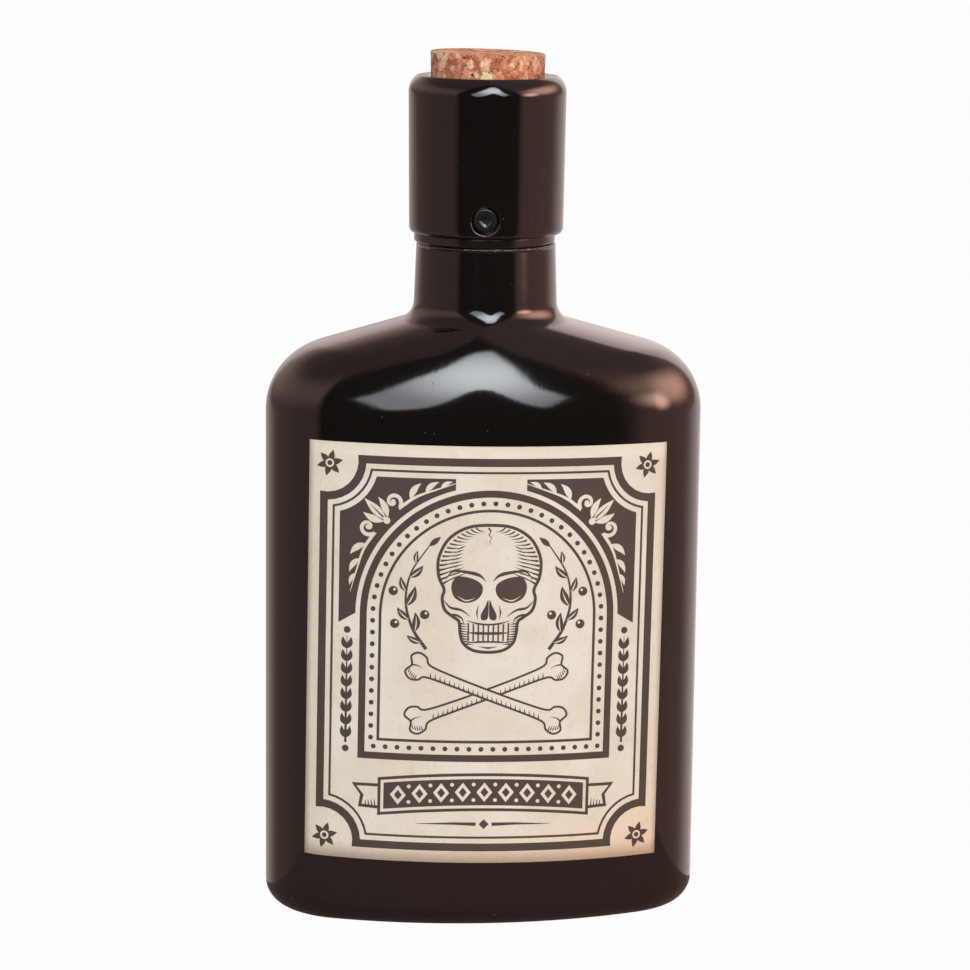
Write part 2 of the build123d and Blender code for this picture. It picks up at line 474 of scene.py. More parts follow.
def gloss_paint():
    """Glossy black paint with a warm brown cast, a slight orange peel and dust in it."""
    deep_tone = colour(0.0042, 0.0032, 0.0027)
    warm_tone = colour(0.0060, 0.0045, 0.0039)
    dust_tone = colour(0.11, 0.095, 0.085)
    material, board = new_finish("gloss_paint")
    place = board.place()
    paint = board.mix(board.grain(place, 22 * MM, 3.0), deep_tone, warm_tone)

    dust_patch = board.between(board.grain(place, 9 * MM), 0.52, 0.62)
    dust = board.between(board.cells(place, 4.2 * MM), 0.035, 0.055, 1.0, 0.0) * dust_patch
    tone = board.mix(dust, paint, dust_tone)
    haze = board.grain(place, 13 * MM, 4.0, 0.6)
    roughness = 0.055 + haze * 0.05 + dust * 0.3

    swell = board.grain(place, 9.0 * MM, 1.0)
    up = board.axis(place, "Z")
    neck_edge = board.between(abs(up - neck_step_height), 0.9 * MM, 0.4 * MM)
    chips = board.grain(place, 0.9 * MM, 2.0, 0.7) * neck_edge
    peel = board.grain(place, 2.6 * MM, 1.0)
    ripple = board.grain(board.stretched(place, (1.0, 1.0, 0.4)), 0.6 * MM, 2.0)
    ripple_patch = board.between(board.grain(place, 7.0 * MM), 0.40, 0.60, 0.25, 1.0)
    pit_patch = board.between(board.grain(place, 5.0 * MM), 0.56, 0.64)
    pits = board.between(board.cells(place, 1.7 * MM), 0.05, 0.11, 1.0, 0.0) * pit_patch
    relief = board.relief(
        (swell, 0.025 * MM),
        (chips, 0.45 * MM),
        (peel, 0.006 * MM),
        (ripple * ripple_patch, 0.0055 * MM),
        (1 - pits, 0.03 * MM),
        (dust, 0.02 * MM),
    )
    finish_surface(board, tone, roughness, relief, IOR=paint_ior)
    return material


def small_part_paint(name, dark, light, cloud_size, gloss, haze, haze_size, peel_size, peel_depth):
    """Black paint on a small part: its roughness goes up from the gloss by the haze."""
    material, board = new_finish(name)
    place = board.place()
    tone = board.mix(board.grain(place, cloud_size, 3.0), dark, light)
    roughness = gloss + board.grain(place, haze_size, 3.0) * haze
    relief = board.relief((board.grain(place, peel_size, 2.0), peel_depth))
    finish_surface(board, tone, roughness, relief, IOR=paint_ior)
    return material


def ring_paint():
    """Black plastic under the same paint, a little rougher."""
    return small_part_paint(
        "ring_paint", colour(0.0060, 0.0045, 0.0038), colour(0.0100, 0.0074, 0.0064),
        cloud_size=6 * MM, gloss=0.10, haze=0.10, haze_size=3 * MM,
        peel_size=0.7 * MM, peel_depth=0.004 * MM,
    )


def screw_paint():
    """Blackened steel under a coat of paint."""
    return small_part_paint(
        "screw_paint", colour(0.0060, 0.0055, 0.0060), colour(0.0120, 0.0110, 0.0115),
        cloud_size=1.5 * MM, gloss=0.12, haze=0.14, haze_size=0.8 * MM,
        peel_size=0.5 * MM, peel_depth=0.006 * MM,
    )


def cork_granules(board, place, size, drift):
    """A random shade for each granule of about a size, and the distance to its edge."""
    bent = board.add(
        "ShaderNodeMix", {"data_type": "VECTOR"},
        {"Factor_Float": granule_bend * size, "A_Vector": place, "B_Vector": drift},
        "Result_Vector",
    )
    granule = board.cells(bent, size, output="Color")
    shade = board.add("ShaderNodeSeparateColor", None, {"Color": granule}, "Red")
    return shade, board.cells(bent, size, "DISTANCE_TO_EDGE")


def cork_grain():
    """Pressed cork granules of several tones and sizes, with dark pits between them: partly the
    cork's own darker pores and partly painted shade in the pits.
    """
    granule_tones = [
        (0.00, (0.42, 0.13, 0.068)), (0.20, (0.64, 0.25, 0.135)),
        (0.45, (0.78, 0.345, 0.195)), (0.65, (0.87, 0.43, 0.255)),
        (0.85, (0.93, 0.55, 0.35)), (1.00, (0.95, 0.65, 0.43)),
    ]
    pale_tone = colour(0.92, 0.77, 0.49)
    seam_tone = colour(0.28, 0.075, 0.04)
    pore_and_shade_tone = colour(0.11, 0.026, 0.016)
    material, board = new_finish("cork_grain")
    place = board.place()
    drift = board.grain(place, 1.1 * MM, 3.0, output="Color")
    coarse, coarse_edge = cork_granules(board, place, coarse_granule, drift)
    small, small_edge = cork_granules(board, place, fine_granule, drift)
    shade = board.between(coarse * 0.5 + small * 0.5, 0.12, 0.88)
    tone = board.add("ShaderNodeValToRGB", {"stops": granule_tones}, {"Fac": shade}, "Color")
    tone = board.mix(board.between(coarse, 0.945, 0.965), tone, pale_tone)
    fine = board.grain(place, 0.30 * MM, 4.0, 0.7)
    fine_tone = board.mix(fine, colour(0.06, 0.03, 0.02), colour(1.0, 0.92, 0.82))
    tone = board.mix(0.75, tone, fine_tone, "OVERLAY")
    seam = board.between(coarse_edge, 0.0, 0.10, 0.55, 0.0)
    seam = seam + board.between(small_edge, 0.0, 0.12, 0.35, 0.0)
    seam = seam * board.between(board.grain(place, 1.6 * MM), 0.35, 0.60, 0.25, 1.0)
    tone = board.mix(seam, tone, seam_tone)
    # Pits: the cork's darker pores, plus painted shade over the same spots that the geometry
    # sinks.
    pit = board.between(board.grain(place, pit_size, 2.0, 0.6), 0.62, 0.69)
    tone = board.mix(pit, tone, pore_and_shade_tone)
    finish_surface(board, tone, 0.85 - fine * 0.15, board.relief((fine, 0.10 * MM)))
    return material


def aged_paper():
    """Cream paper, yellower towards its edges, with faint blotches, specks and fibres."""
    worn_tone = colour(0.735, 0.675, 0.530)
    clean_tone = colour(0.79, 0.755, 0.640)
    edge_tone = colour(0.77, 0.65, 0.46)
    stain_tone = colour(0.83, 0.61, 0.39)
    fibre_tone = colour(0.62, 0.52, 0.36)
    speck_tone = colour(0.66, 0.57, 0.40)
    material, board = new_finish("aged_paper")
    place = board.place()
    sheet = board.add("ShaderNodeUVMap", {"uv_map": "sheet"})
    across = board.axis(sheet, "X")
    up = board.axis(sheet, "Y")
    blotch = board.grain(place, 16 * MM, 4.0, 0.6)
    tone = board.mix(board.between(blotch, 0.35, 0.65), worn_tone, clean_tone)
    from_edge = across.maths("MINIMUM", label_width / 2 - abs(across), label_height / 2 - abs(up))
    wander = board.grain(place, 9 * MM, 3.0, 0.6) * (9 * MM)
    yellowing = board.between(from_edge - wander, 4.0 * MM, -6.0 * MM, 0.0, 0.5)
    tone = board.mix(yellowing, tone, edge_tone)
    stain = board.between(across * 0.5 - up, 30 * MM, 62 * MM, 0.0, 0.7)
    stain = stain * board.between(blotch, 0.30, 0.60, 0.5, 1.0)
    tone = board.mix(stain, tone, stain_tone)
    fibre = board.grain(board.stretched(place, (1.0, 1.0, 0.28)), 0.55 * MM, 3.0, 0.6)
    tone = board.mix(board.between(fibre, 0.56, 0.76, 0.0, 0.42), tone, fibre_tone)
    speck = board.grain(place, 3.2 * MM, 4.0, 0.7)
    tone = board.mix(board.between(speck, 0.54, 0.70, 0.0, 0.36), tone, speck_tone)
    finish_surface(board, tone, 0.78 + fibre * 0.1, board.relief((fibre, 0.02 * MM)))
    return material


def brown_ink():
    """Dark brown printing ink, slightly worn."""
    deep_tone = colour(0.056, 0.036, 0.028)
    light_tone = colour(0.078, 0.052, 0.041)
    worn_tone = colour(0.34, 0.27, 0.20)
    material, board = new_finish("brown_ink")
    place = board.place()
    wear = board.grain(place, 0.35 * MM, 3.0, 0.7)
    tone = board.mix(board.grain(place, 7 * MM, 3.0), deep_tone, light_tone)
    tone = board.mix(board.between(wear, 0.62, 0.80, 0.0, 0.5), tone, worn_tone)
    finish_surface(board, tone, 0.62 + wear * 0.12, board.relief((wear, 0.006 * MM)))
    return material


def ring_angles(face_steps, end_steps):
    """Directions of the points round a flask section, from its front's left join."""
    front = np.linspace(-math.pi / 2 - join_angle, -math.pi / 2 + join_angle, face_steps,
                        endpoint=False)
    right = np.linspace(-math.pi / 2 + join_angle, math.pi / 2 - join_angle, end_steps,
                        endpoint=False)
    return np.concatenate([front, right, front + math.pi, right + math.pi])


FLASK_ANGLES = ring_angles(face_steps=28, end_steps=40)


def flask_ring(half_width, half_depth, height):
    """Points of the flask's plan at a height: its ends get rounder as it nears a circle."""
    spread = half_width - half_depth
    tip_radius = half_depth - end_share * spread
    face = half_depth + spread * (1 + 2 * end_share) / (2 * end_share)
    on_face = np.abs(np.cos(FLASK_ANGLES)) < math.sin(join_angle) - 1e-9
    side = np.sign(np.cos(FLASK_ANGLES))
    front = np.sign(np.sin(FLASK_ANGLES))
    radius = np.where(on_face, face, tip_radius)
    centre_x = np.where(on_face, 0.0, side * (1 + end_share) * spread)
    centre_y = np.where(on_face, front * (half_depth - face), 0.0)
    return np.stack([
        centre_x + radius * np.cos(FLASK_ANGLES),
        centre_y + radius * np.sin(FLASK_ANGLES),
        np.full(len(FLASK_ANGLES), height),
    ], axis=1)


def shoulder_reach(height, half_size, bend_radius, foot_radius, turn, start, inset):
    """Half size of the shoulder at a height, inside its outline by the inset."""
    bend = bend_radius - inset
    foot = foot_radius + inset
    bend_top = start + bend * math.sin(turn)
    foot_bottom = neck_foot_height - foot * math.sin(turn)
    if height <= start:
        return half_size - inset
    if height <= bend_top:
        return half_size - bend_radius + math.sqrt(bend ** 2 - (height - start) ** 2)
    if height < foot_bottom:
        slope_start = half_size - bend_radius + bend * math.cos(turn)
        return slope_start - (height - bend_top) * math.tan(turn)
    if height < neck_foot_height:
        drop = neck_foot_height - height
        return neck_foot_radius + foot_radius - math.sqrt(foot ** 2 - drop ** 2)
    return neck_foot_radius - inset


def shoulder_ring(height, inset):
    """Section of the shoulder at a height."""
    half_width = shoulder_reach(
        height, body_half_width, side_shoulder_radius, side_foot_radius,
        side_turn, shoulder_height, inset,
    )
    half_depth = shoulder_reach(
        height, body_half_depth, front_shoulder_radius, front_foot_radius,
        front_turn, front_shoulder_height, inset,
    )
    return flask_ring(half_width, half_depth, height)


def shoulder_heights(inset, bend_steps, slope_steps, foot_steps):
    """Heights of the shoulder's sections, close together where it bends."""
    bend = side_shoulder_radius - inset
    foot = side_foot_radius + inset
    bend_top = shoulder_height + bend * math.sin(side_turn)
    foot_bottom = neck_foot_height - foot * math.sin(side_turn)
    heights = [
        shoulder_height + bend * math.sin(side_turn * step / bend_steps)
        for step in range(bend_steps)
    ]
    heights += list(np.linspace(bend_top, foot_bottom, slope_steps, endpoint=False))
    heights += [
        neck_foot_height - foot * math.sin(side_turn * (1 - step / foot_steps))
        for step in range(foot_steps + 1)
    ]
    return heights


def rounded(corners, closed=False, steps=6):
    """Outline through (radius, height, rounding) corners, with points that keep flats flat."""
    points = []
    count = len(corners)
    for index, (x, z, rounding) in enumerate(corners):
        here = np.array([x, z])
        if rounding == 0 or (not closed and index in (0, count - 1)):
            points.append(here)
            continue
        before = np.array(corners[index - 1][:2]) - here
        after = np.array(corners[(index + 1) % count][:2]) - here
        into = before / np.linalg.norm(before)
        out = after / np.linalg.norm(after)
        half = math.acos(np.clip(into @ out, -1, 1)) / 2
        reach = rounding / math.tan(half)
        centre = here + (into + out) / np.linalg.norm(into + out) * rounding / math.sin(half)
        flat_before, flat_after = (
            min(flat_share * rounding + least_flat, flat_share * (np.linalg.norm(side) - reach))
            for side in (before, after)
        )
        points.append(here + into * (reach + flat_before))
        start = here + into * reach - centre
        end = here + out * reach - centre
        sweep = math.acos(np.clip(start @ end / rounding ** 2, -1, 1))
        for step in range(steps + 1):
            along = step / steps
            points.append(centre + (
                start * math.sin((1 - along) * sweep) + end * math.sin(along * sweep)
            ) / math.sin(sweep))
        points.append(here + out * (reach + flat_after))
    return points


def arc(centre_x, centre_z, radius, start, end, steps):
    """Corners along an arc, without rounding."""
    return [
        (centre_x + radius * math.cos(angle), centre_z + radius * math.sin(angle), 0)
        for angle in np.linspace(start, end, steps + 1)
    ]


def circle_ring(radius, height, angles):
    """Points round the bottle's axis; radius and height may change with the angle."""
    return np.stack([
        radius * np.cos(angles), radius * np.sin(angles), np.full(len(angles), height)
    ], axis=1)


class Shell:
    """Points and faces of a mesh that grows ring by ring."""

    def __init__(self):
        self.points = []
        self.faces = []

    def ring(self, points):
        """Adds a ring of points and gives their numbers."""
        first = len(self.points)
        self.points.extend(tuple(point) for point in points)
        return list(range(first, len(self.points)))

    def band(self, lower, upper, gap=()):
        """Faces between two rings, apart from the columns in the gap."""
        count = len(lower)
        for i in range(count):
            if i not in gap:
                j = (i + 1) % count
                self.faces.append((lower[i], lower[j], upper[j], upper[i]))

    def tube(self, rings):
        """Faces along a row of rings."""
        for lower, upper in zip(rings, rings[1:]):
            self.band(lower, upper)

    def cap(self, ring, point, below):
        """Faces from a ring to one point; below says that the cap looks down."""
        middle = self.ring([point])[0]
        count = len(ring)
        for i in range(count):
            j = (i + 1) % count
            pair = (ring[j], ring[i]) if below else (ring[i], ring[j])
            self.faces.append((*pair, middle))

    def fill(self, rings, lowest, highest):
        """A closed body through rings of points, capped at both ends."""
        loops = [self.ring(points) for points in rings]
        self.tube(loops)
        self.cap(loops[0], (0, 0, lowest), below=True)
        self.cap(loops[-1], (0, 0, highest), below=False)

    def make(self, name, material, place=None):
        """The finished object."""
        mesh = bpy.data.meshes.new(name)
        mesh.from_pydata(self.points, [], self.faces)
        if place is not None:
            mesh.transform(place)
        mesh.validate()
        mesh.shade_smooth()
        mesh.materials.append(material)
        piece = bpy.data.objects.new(name, mesh)
        bpy.context.scene.collection.objects.link(piece)
        return piece


def fit(piece, body, slot, *nodes):
    """Puts a finished piece in place of its CAD nodes."""
    if nodes:
        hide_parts(*nodes)
    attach(piece, body)


def body_ring(inset, height, share=1.0):
    """Section of the body inside its outline by the inset, shrunk to a share of itself."""
    ring = flask_ring(body_half_width - inset, body_half_depth - inset, height)
    return ring * (share, share, 1.0)


def base_edge_rings(inset):
    """Sections round the base's edge, from the base up to the wall."""
    radius = base_edge_radius - inset
    turns = [math.pi / 2 * step / base_edge_steps for step in range(base_edge_steps + 1)]
    return [
        body_ring(inset + radius * (1 - math.sin(turn)), inset + radius * (1 - math.cos(turn)))
        for turn in turns
    ]


def make_bottle(paint):
    """Hollow bottle: outside from the base panel to the lip, then inside down to the floor."""
    roof_inset = base_panel_inset + base_panel_rise
    rings = [body_ring(roof_inset, base_panel_rise, share) for share in (0.35, 0.7, 0.98, 1.0)]
    rings += [body_ring(base_panel_inset, 0.0, share) for share in (1.0, 1.02)]
    rings.append(body_ring(base_edge_radius + base_flat_margin, 0.0))
    rings += base_edge_rings(0.0)
    outer_rows = np.linspace(base_edge_radius + 6 * MM, shoulder_height - 2 * MM, num=12)
    for height in (base_edge_radius + wall_foot_margin, *outer_rows):
        rings.append(body_ring(0.0, height))
    outer_shoulder = shoulder_heights(0.0, bend_steps=36, slope_steps=12, foot_steps=16)
    rings += [shoulder_ring(height, 0.0) for height in outer_shoulder]
    neck_outline = rounded([
        (neck_foot_radius, neck_foot_height, 0),
        (neck_top_radius, neck_step_height, neck_edge_radius),
        (finish_radius, neck_step_height, neck_corner_rounding),
        (finish_radius, lip_height, lip_edge_radius),
        (bore_radius, lip_height, lip_edge_radius),
        (bore_radius, neck_step_height, bore_foot_rounding),
        (neck_foot_radius - wall, neck_foot_height, 0),
    ])
    rings += [circle_ring(radius, height, FLASK_ANGLES) for radius, height in neck_outline[1:-1]]
    inner_shoulder = shoulder_heights(wall, bend_steps=12, slope_steps=5, foot_steps=8)
    rings += [shoulder_ring(height, wall) for height in inner_shoulder[::-1]]
    inner_rows = np.linspace(shoulder_height - 4 * MM, base_edge_radius + 2 * MM, num=6)
    rings += [body_ring(wall, height) for height in inner_rows]
    rings += base_edge_rings(wall)[::-1]
    floor = wall + base_panel_rise
    rings.append(body_ring(base_panel_inset - wall, wall))
    rings += [body_ring(roof_inset - wall, floor, share) for share in (1.0, 0.7, 0.35)]
    shell = Shell()
    shell.fill(rings, base_panel_rise, floor)
    bottle = shell.make("bottle_flask", paint)
    fit(bottle, "bottle_body", "black_gloss", "bottle")


def make_ring(paint):
    """Loose ring on the neck's step."""
    radius = (ring_high.x - ring_low.x) / 2
    shift = (ring_high.x + ring_low.x) / 2
    outline = rounded([
        (radius, ring_low.z, ring_edge_radius),
        (radius, ring_high.z, ring_soft_edge),
        (ring_hole_radius, ring_high.z, ring_soft_edge),
        (ring_hole_radius, ring_low.z, ring_soft_edge),
    ], closed=True)
    shell = Shell()
    angles = np.linspace(0, 2 * math.pi, ring_columns, endpoint=False)
    loops = [shell.ring(circle_ring(r, z, angles) + (shift, 0.0, 0.0)) for r, z in outline]
    shell.tube([*loops, loops[0]])
    ring = shell.make("ring_on_step", paint)
    fit(ring, "bottle_body", "ring_black", "neck_ring")


def cork_radius(height):
    """Radius of the tapered cork at a height."""
    return cork_top_radius - (cork_middle_height - height) * math.tan(cork_taper)


def collar_outline():
    """Outline of the collar, from its foot up the outside and down the inside."""
    bevel_foot = collar_top - collar_bevel_height
    bevel_x = collar_crown_radius - collar_bevel_radius
    bevel_end = math.asin(collar_bevel_height / collar_bevel_radius)
    seat_foot = lip_height + collar_lip_gap
    wall_top = bevel_foot - collar_wall_top_margin
    bevel = arc(bevel_x, bevel_foot, collar_bevel_radius, 0.0, bevel_end, steps=14)
    crown = (bevel[-1][0], bevel[-1][1], collar_crown_rounding)
    return rounded([
        (collar_bore_radius, collar_foot, collar_bore_rounding),
        (collar_foot_radius, collar_foot, collar_foot_rounding),
        (collar_crown_radius - collar_wall_draw, wall_top, 0),
        *bevel[:-1],
        crown,
        (cork_radius(collar_top) + cork_clearance, collar_top, collar_mouth_rounding),
        (cork_radius(seat_foot) + cork_clearance, seat_foot, cork_seat_rounding),
        (collar_bore_radius, seat_foot, cork_seat_rounding),
    ], closed=True, steps=8)


def make_collar(paint):
    """Thick sleeve with a rounded bevel and the screw's pocket in its front."""
    screw_angle = screw_turn - math.pi / 2
    angles = screw_angle + np.linspace(0, 2 * math.pi, collar_columns, endpoint=False)
    outline = collar_outline()
    outside = collar_bore_radius + 1.5 * MM
    bevel_foot = collar_top - collar_bevel_height
    wall_radii, wall_heights = zip(*[(r, z) for r, z in outline if r > outside and z < bevel_foot])

    def wall_radius(height):
        """Radius of the collar's wall at a height."""
        return np.interp(height, wall_heights, wall_radii)

    patch_heights = np.linspace(patch_foot, patch_top, patch_rows + 1)
    replaced = [
        place for place, (r, z) in enumerate(outline)
        if r > outside and patch_foot - 0.02 * MM < z < patch_top + 0.3 * MM
    ]
    first = replaced[0]
    outline[first:replaced[-1] + 1] = [(wall_radius(z), z) for z in patch_heights]
    shell = Shell()
    loops = [shell.ring(circle_ring(r, z, angles)) for r, z in outline]
    patch_columns = {i % collar_columns for i in range(-patch_half_columns, patch_half_columns)}
    for row, lower in enumerate(loops):
        in_patch = first <= row < first + patch_rows
        shell.band(lower, loops[(row + 1) % len(loops)], patch_columns if in_patch else ())
    border = patch_border(loops[first:first + patch_rows + 1])
    add_pocket(shell, border, wall_radius, screw_angle)
    collar = shell.make("collar_sleeve", paint)
    fit(collar, "bottle_body", "black_gloss", "collar")


def patch_border(rows):
    """Numbers of the points round the pocket's patch, counterclockwise seen from outside."""
    half = patch_half_columns
    bottom = [rows[0][i] for i in range(-half, half)]
    right = [row[half] for row in rows[:-1]]
    top = [rows[-1][i] for i in range(half, -half, -1)]
    left = [row[-half] for row in rows[:0:-1]]
    return bottom + right + top + left


def add_pocket(shell, border, wall_radius, screw_angle):
    """Closes the collar's wall round the screw with the pocket's rim, wall and floor."""
    points = np.array([shell.points[i] for i in border])
    border_turn = np.arctan2(points[:, 1], points[:, 0]) - screw_angle
    border_turn = (border_turn + math.pi) % (2 * math.pi) - math.pi
    border_rise = points[:, 2] - screw_height
    angles = np.arctan2(border_rise, border_turn * wall_radius(screw_height))
    mouth = pocket_radius + pocket_rim_rounding
    rise = mouth * np.sin(angles)
    mouth_wall = wall_radius(screw_height + rise)
    turn = np.arcsin(mouth * np.cos(angles) / mouth_wall)
    rings = []
    for share in (0.3, 0.55, 0.75, 0.9, 1.0):
        height = screw_height + border_rise + (rise - border_rise) * share
        angle = screw_angle + border_turn + (turn - border_turn) * share
        rings.append(circle_ring(wall_radius(height), height, angle))

    out = np.array([math.cos(screw_angle), math.sin(screw_angle), 0.0])
    aside = np.array([-math.sin(screw_angle), math.cos(screw_angle), 0.0])
    up = np.array([0.0, 0.0, 1.0])
    spoke = np.outer(np.cos(angles), aside) + np.outer(np.sin(angles), up)

    def pocket_ring(reach, distance):
        """Points round the screw's axis at a reach, and at a distance from the bottle's axis."""
        return spoke * reach + np.outer(distance, out) + up * screw_height

    brink = mouth_wall * np.cos(turn)
    for step in range(1, rim_steps + 1):
        bend = math.pi / 2 * step / rim_steps
        reach = mouth - pocket_rim_rounding * math.sin(bend)
        rings.append(pocket_ring(reach, brink - pocket_rim_rounding * (1 - math.cos(bend))))
    rim_foot = brink - pocket_rim_rounding
    for share in (0.15, 0.5, 0.85, 1.0):
        distance = rim_foot + (pocket_floor_radius - rim_foot) * share
        rings.append(pocket_ring(pocket_radius, distance))
    for share in (0.95, 0.5):
        rings.append(pocket_ring(pocket_radius * share, pocket_floor_radius))
    loops = [border] + [shell.ring(ring) for ring in rings]
    shell.tube(loops)
    shell.cap(loops[-1], out * pocket_floor_radius + up * screw_height, below=False)


def make_screw(paint):
    """Pan-head screw with a painted-over cross recess and a thread on its shank."""
    angles = np.linspace(0, 2 * math.pi, screw_columns, endpoint=False)
    head_top = pocket_floor_radius + screw_head_height
    tip = pocket_floor_radius - screw_length
    head_flat = screw_head_radius * head_flat_share
    rings = []
    for row in range(thread_rows + 1):
        share = row / thread_rows
        z = tip + (pocket_floor_radius - tip) * share
        taper = min(1.0, thread_tip_share + share * thread_tip_growth)
        phase = (z / thread_pitch + angles / (2 * math.pi)) % 1.0
        ridge = np.clip(1 - np.abs(phase - 0.5) * ridge_sharpness, 0, 1)
        ridge = ridge * min(1.0, share * ridge_growth)
        rings.append(circle_ring((screw_core_radius + thread_height * ridge) * taper, z, angles))
    for r, z in rounded([
        (screw_core_radius, pocket_floor_radius, 0),
        (screw_head_radius, pocket_floor_radius, head_foot_rounding),
        (screw_head_radius, head_top, head_edge_rounding),
        (head_flat, head_top, 0),
    ], steps=8)[1:]:
        rings.append(circle_ring(r, z, angles))
    cosines = np.abs(np.cos(angles)) ** recess_roundness
    sines = np.abs(np.sin(angles)) ** recess_roundness
    star = (cosines + sines) ** (1 / recess_roundness)
    rim_drop = recess_rim_slope * recess_half_span
    for r in np.linspace(head_flat, 0.0, recess_rows + 2)[1:-1]:
        across = np.clip(r * star / recess_half_span, 0, 1)
        pit = np.clip((recess_pit_edge - across) / recess_pit_slope, 0, 1)
        drop = rim_drop * (1 - across) + (recess_depth - rim_drop) * pit ** 2 * (3 - 2 * pit)
        rings.append(circle_ring(r, head_top - drop, angles))
    shell = Shell()
    shell.fill(rings, tip - screw_tip_length, head_top - recess_depth)
    place = (
        Matrix.Translation((0, 0, screw_height))
        @ Matrix.Rotation(screw_turn, 4, "Z")
        @ Matrix.Rotation(math.pi / 2, 4, "X")
    )
    screw = shell.make("pan_head_screw", paint, place)
    fit(screw, "bottle_body", "screw_black", "collar_screw")


def roughened_cork(grain):
    """Geometry tree that sinks the seams between granules and the pits into a cork."""
    board, given = new_growth("cork_surface", {
        "Granule Size": "Float", "Granule Relief": "Float",
        "Pit Size": "Float", "Pit Depth": "Float", "Seed": "Int",
    })
    place = board.add("GeometryNodeInputPosition")
    shift = board.add("ShaderNodeCombineXYZ", None, {"Z": given["Seed"] * seed_spacing})
    spot = board.add("ShaderNodeVectorMath", {"operation": "ADD"}, {0: place, 1: shift}, "Vector")
    edge = board.cells(spot, given["Granule Size"], "DISTANCE_TO_EDGE")
    seam = board.between(edge, 0.0, 0.12, 1.0, 0.0)
    pit = board.between(board.grain(spot, given["Pit Size"], 2.0, 0.6), 0.66, 0.76)
    depth = seam * given["Granule Relief"] + pit * given["Pit Depth"]
    outward = board.add("GeometryNodeInputNormal")
    inward = board.add("ShaderNodeVectorMath", {"operation": "SCALE"},
                       {"Vector": outward, "Scale": depth * -1.0}, "Vector")
    sunk = board.add("GeometryNodeSetPosition", None,
                     {"Geometry": given["Mesh"], "Offset": inward})
    finish_growth(board, sunk, grain)
    return board


def make_cork(grain):
    """Tapered cork with a slightly slanting top."""
    angles = np.linspace(0, 2 * math.pi, cork_columns, endpoint=False)
    bottom = cork_low.z
    outline = rounded([
        (cork_pole_radius, bottom, 0),
        (cork_radius(bottom), bottom, cork_edge_rounding),
        (cork_radius(cork_middle_height), cork_middle_height, cork_edge_rounding),
        (cork_pole_radius, cork_middle_height, 0),
    ])
    spots = []
    for (r0, z0), (r1, z1) in zip(outline, outline[1:]):
        steps = max(1, round(math.hypot(r1 - r0, z1 - z0) / cork_mesh_step))
        spots += [(r0 + (r1 - r0) * s / steps, z0 + (z1 - z0) * s / steps) for s in range(steps)]
    rings = []
    for r, z in [*spots, outline[-1]]:
        points = circle_ring(r, z, angles)
        lift = np.clip((z - collar_top) / (cork_middle_height - collar_top), 0, 1)
        points[:, 2] -= points[:, 0] * math.tan(cork_top_slant) * lift
        rings.append(points)
    shell = Shell()
    shell.fill(rings, bottom, cork_middle_height)
    smooth_cork = shell.make("smooth_cork", grain)
    mesh = grow(smooth_cork.data, roughened_cork(grain), {
        "Granule Size": coarse_granule, "Granule Relief": granule_relief,
        "Pit Size": pit_size, "Pit Depth": pit_depth, "Seed": cork_seed,
    })
    bpy.data.objects.remove(smooth_cork)
    mesh.shade_smooth()
    cork = bpy.data.objects.new("cork_stopper", mesh)
    bpy.context.scene.collection.objects.link(cork)
    fit(cork, "stopper", "cork", "cork")


def on_front(along, height, lift):
    """A point on the body's front, a distance along the surface from its middle."""
    face_length = face_radius * join_angle
    beyond = abs(along) - face_length
    if beyond <= 0:
        turn = abs(along) / face_radius
        x = (face_radius + lift) * math.sin(turn)
        y = face_radius - body_half_depth - (face_radius + lift) * math.cos(turn)
    else:
        turn = join_angle + beyond / body_end_radius
        x = (1 + end_share) * body_spread + (body_end_radius + lift) * math.sin(turn)
        y = -(body_end_radius + lift) * math.cos(turn)
    return (math.copysign(x, along), y, height)


def on_label(across, up, lift):
    """A point of the label, from its own middle, lifted off the bottle."""
    along = label_shift + across * math.cos(label_tilt) + up * math.sin(label_tilt)
    height = label_middle_height - across * math.sin(label_tilt) + up * math.cos(label_tilt)
    return on_front(along, height, lift)


def make_label(paper):
    """Sheet of paper that follows the body's front."""
    across = np.linspace(-label_width / 2, label_width / 2, sheet_columns + 1)
    up = np.linspace(-label_height / 2, label_height / 2, sheet_rows + 1)
    shell = Shell()
    borders = []
    for lift in (label_glue_thickness, label_top_lift):
        grid = [shell.ring([on_label(u, v, lift) for u in across]) for v in up]
        for low, high in zip(grid, grid[1:]):
            for i in range(sheet_columns):
                face = (low[i], low[i + 1], high[i + 1], high[i])
                shell.faces.append(face if lift == label_top_lift else face[::-1])
        right = [row[-1] for row in grid[1:-1]]
        left = [row[0] for row in grid[1:-1]]
        borders.append(grid[0] + right + grid[-1][::-1] + left[::-1])
    shell.band(*borders)
    label = shell.make("label_sheet", paper)
    spots = np.array([(u, v) for v in up for u in across] * 2)
    corners = np.empty(len(label.data.loops), int)
    label.data.loops.foreach_get("vertex_index", corners)
    layer = label.data.uv_layers.new(name="sheet")
    layer.data.foreach_set("uv", spots[corners].ravel())
    fit(label, "bottle_body", "label_paper", "front_label")


# Tones of the drawing. A shape is an outline and its tone, and each covers those before it.
INK = 1
PAPER = 0


def through(points, steps=4, closed=False):
    """A smooth curve through a few points."""
    knots = [np.array(point, float) for point in points]
    if closed:
        knots = [knots[-1], *knots, knots[0], knots[1]]
    else:
        knots = [2 * knots[0] - knots[1], *knots, 2 * knots[-1] - knots[-2]]
    curve = []
    for a, b, c, d in zip(knots, knots[1:], knots[2:], knots[3:]):
        for t in np.linspace(0, 1, steps, endpoint=False):
            curve.append(b + 0.5 * ((c - a) * t + (2 * a - 5 * b + 4 * c - d) * t ** 2
                                    + (3 * b - a - 3 * c + d) * t ** 3))
    return curve if closed else [*curve, knots[-2]]


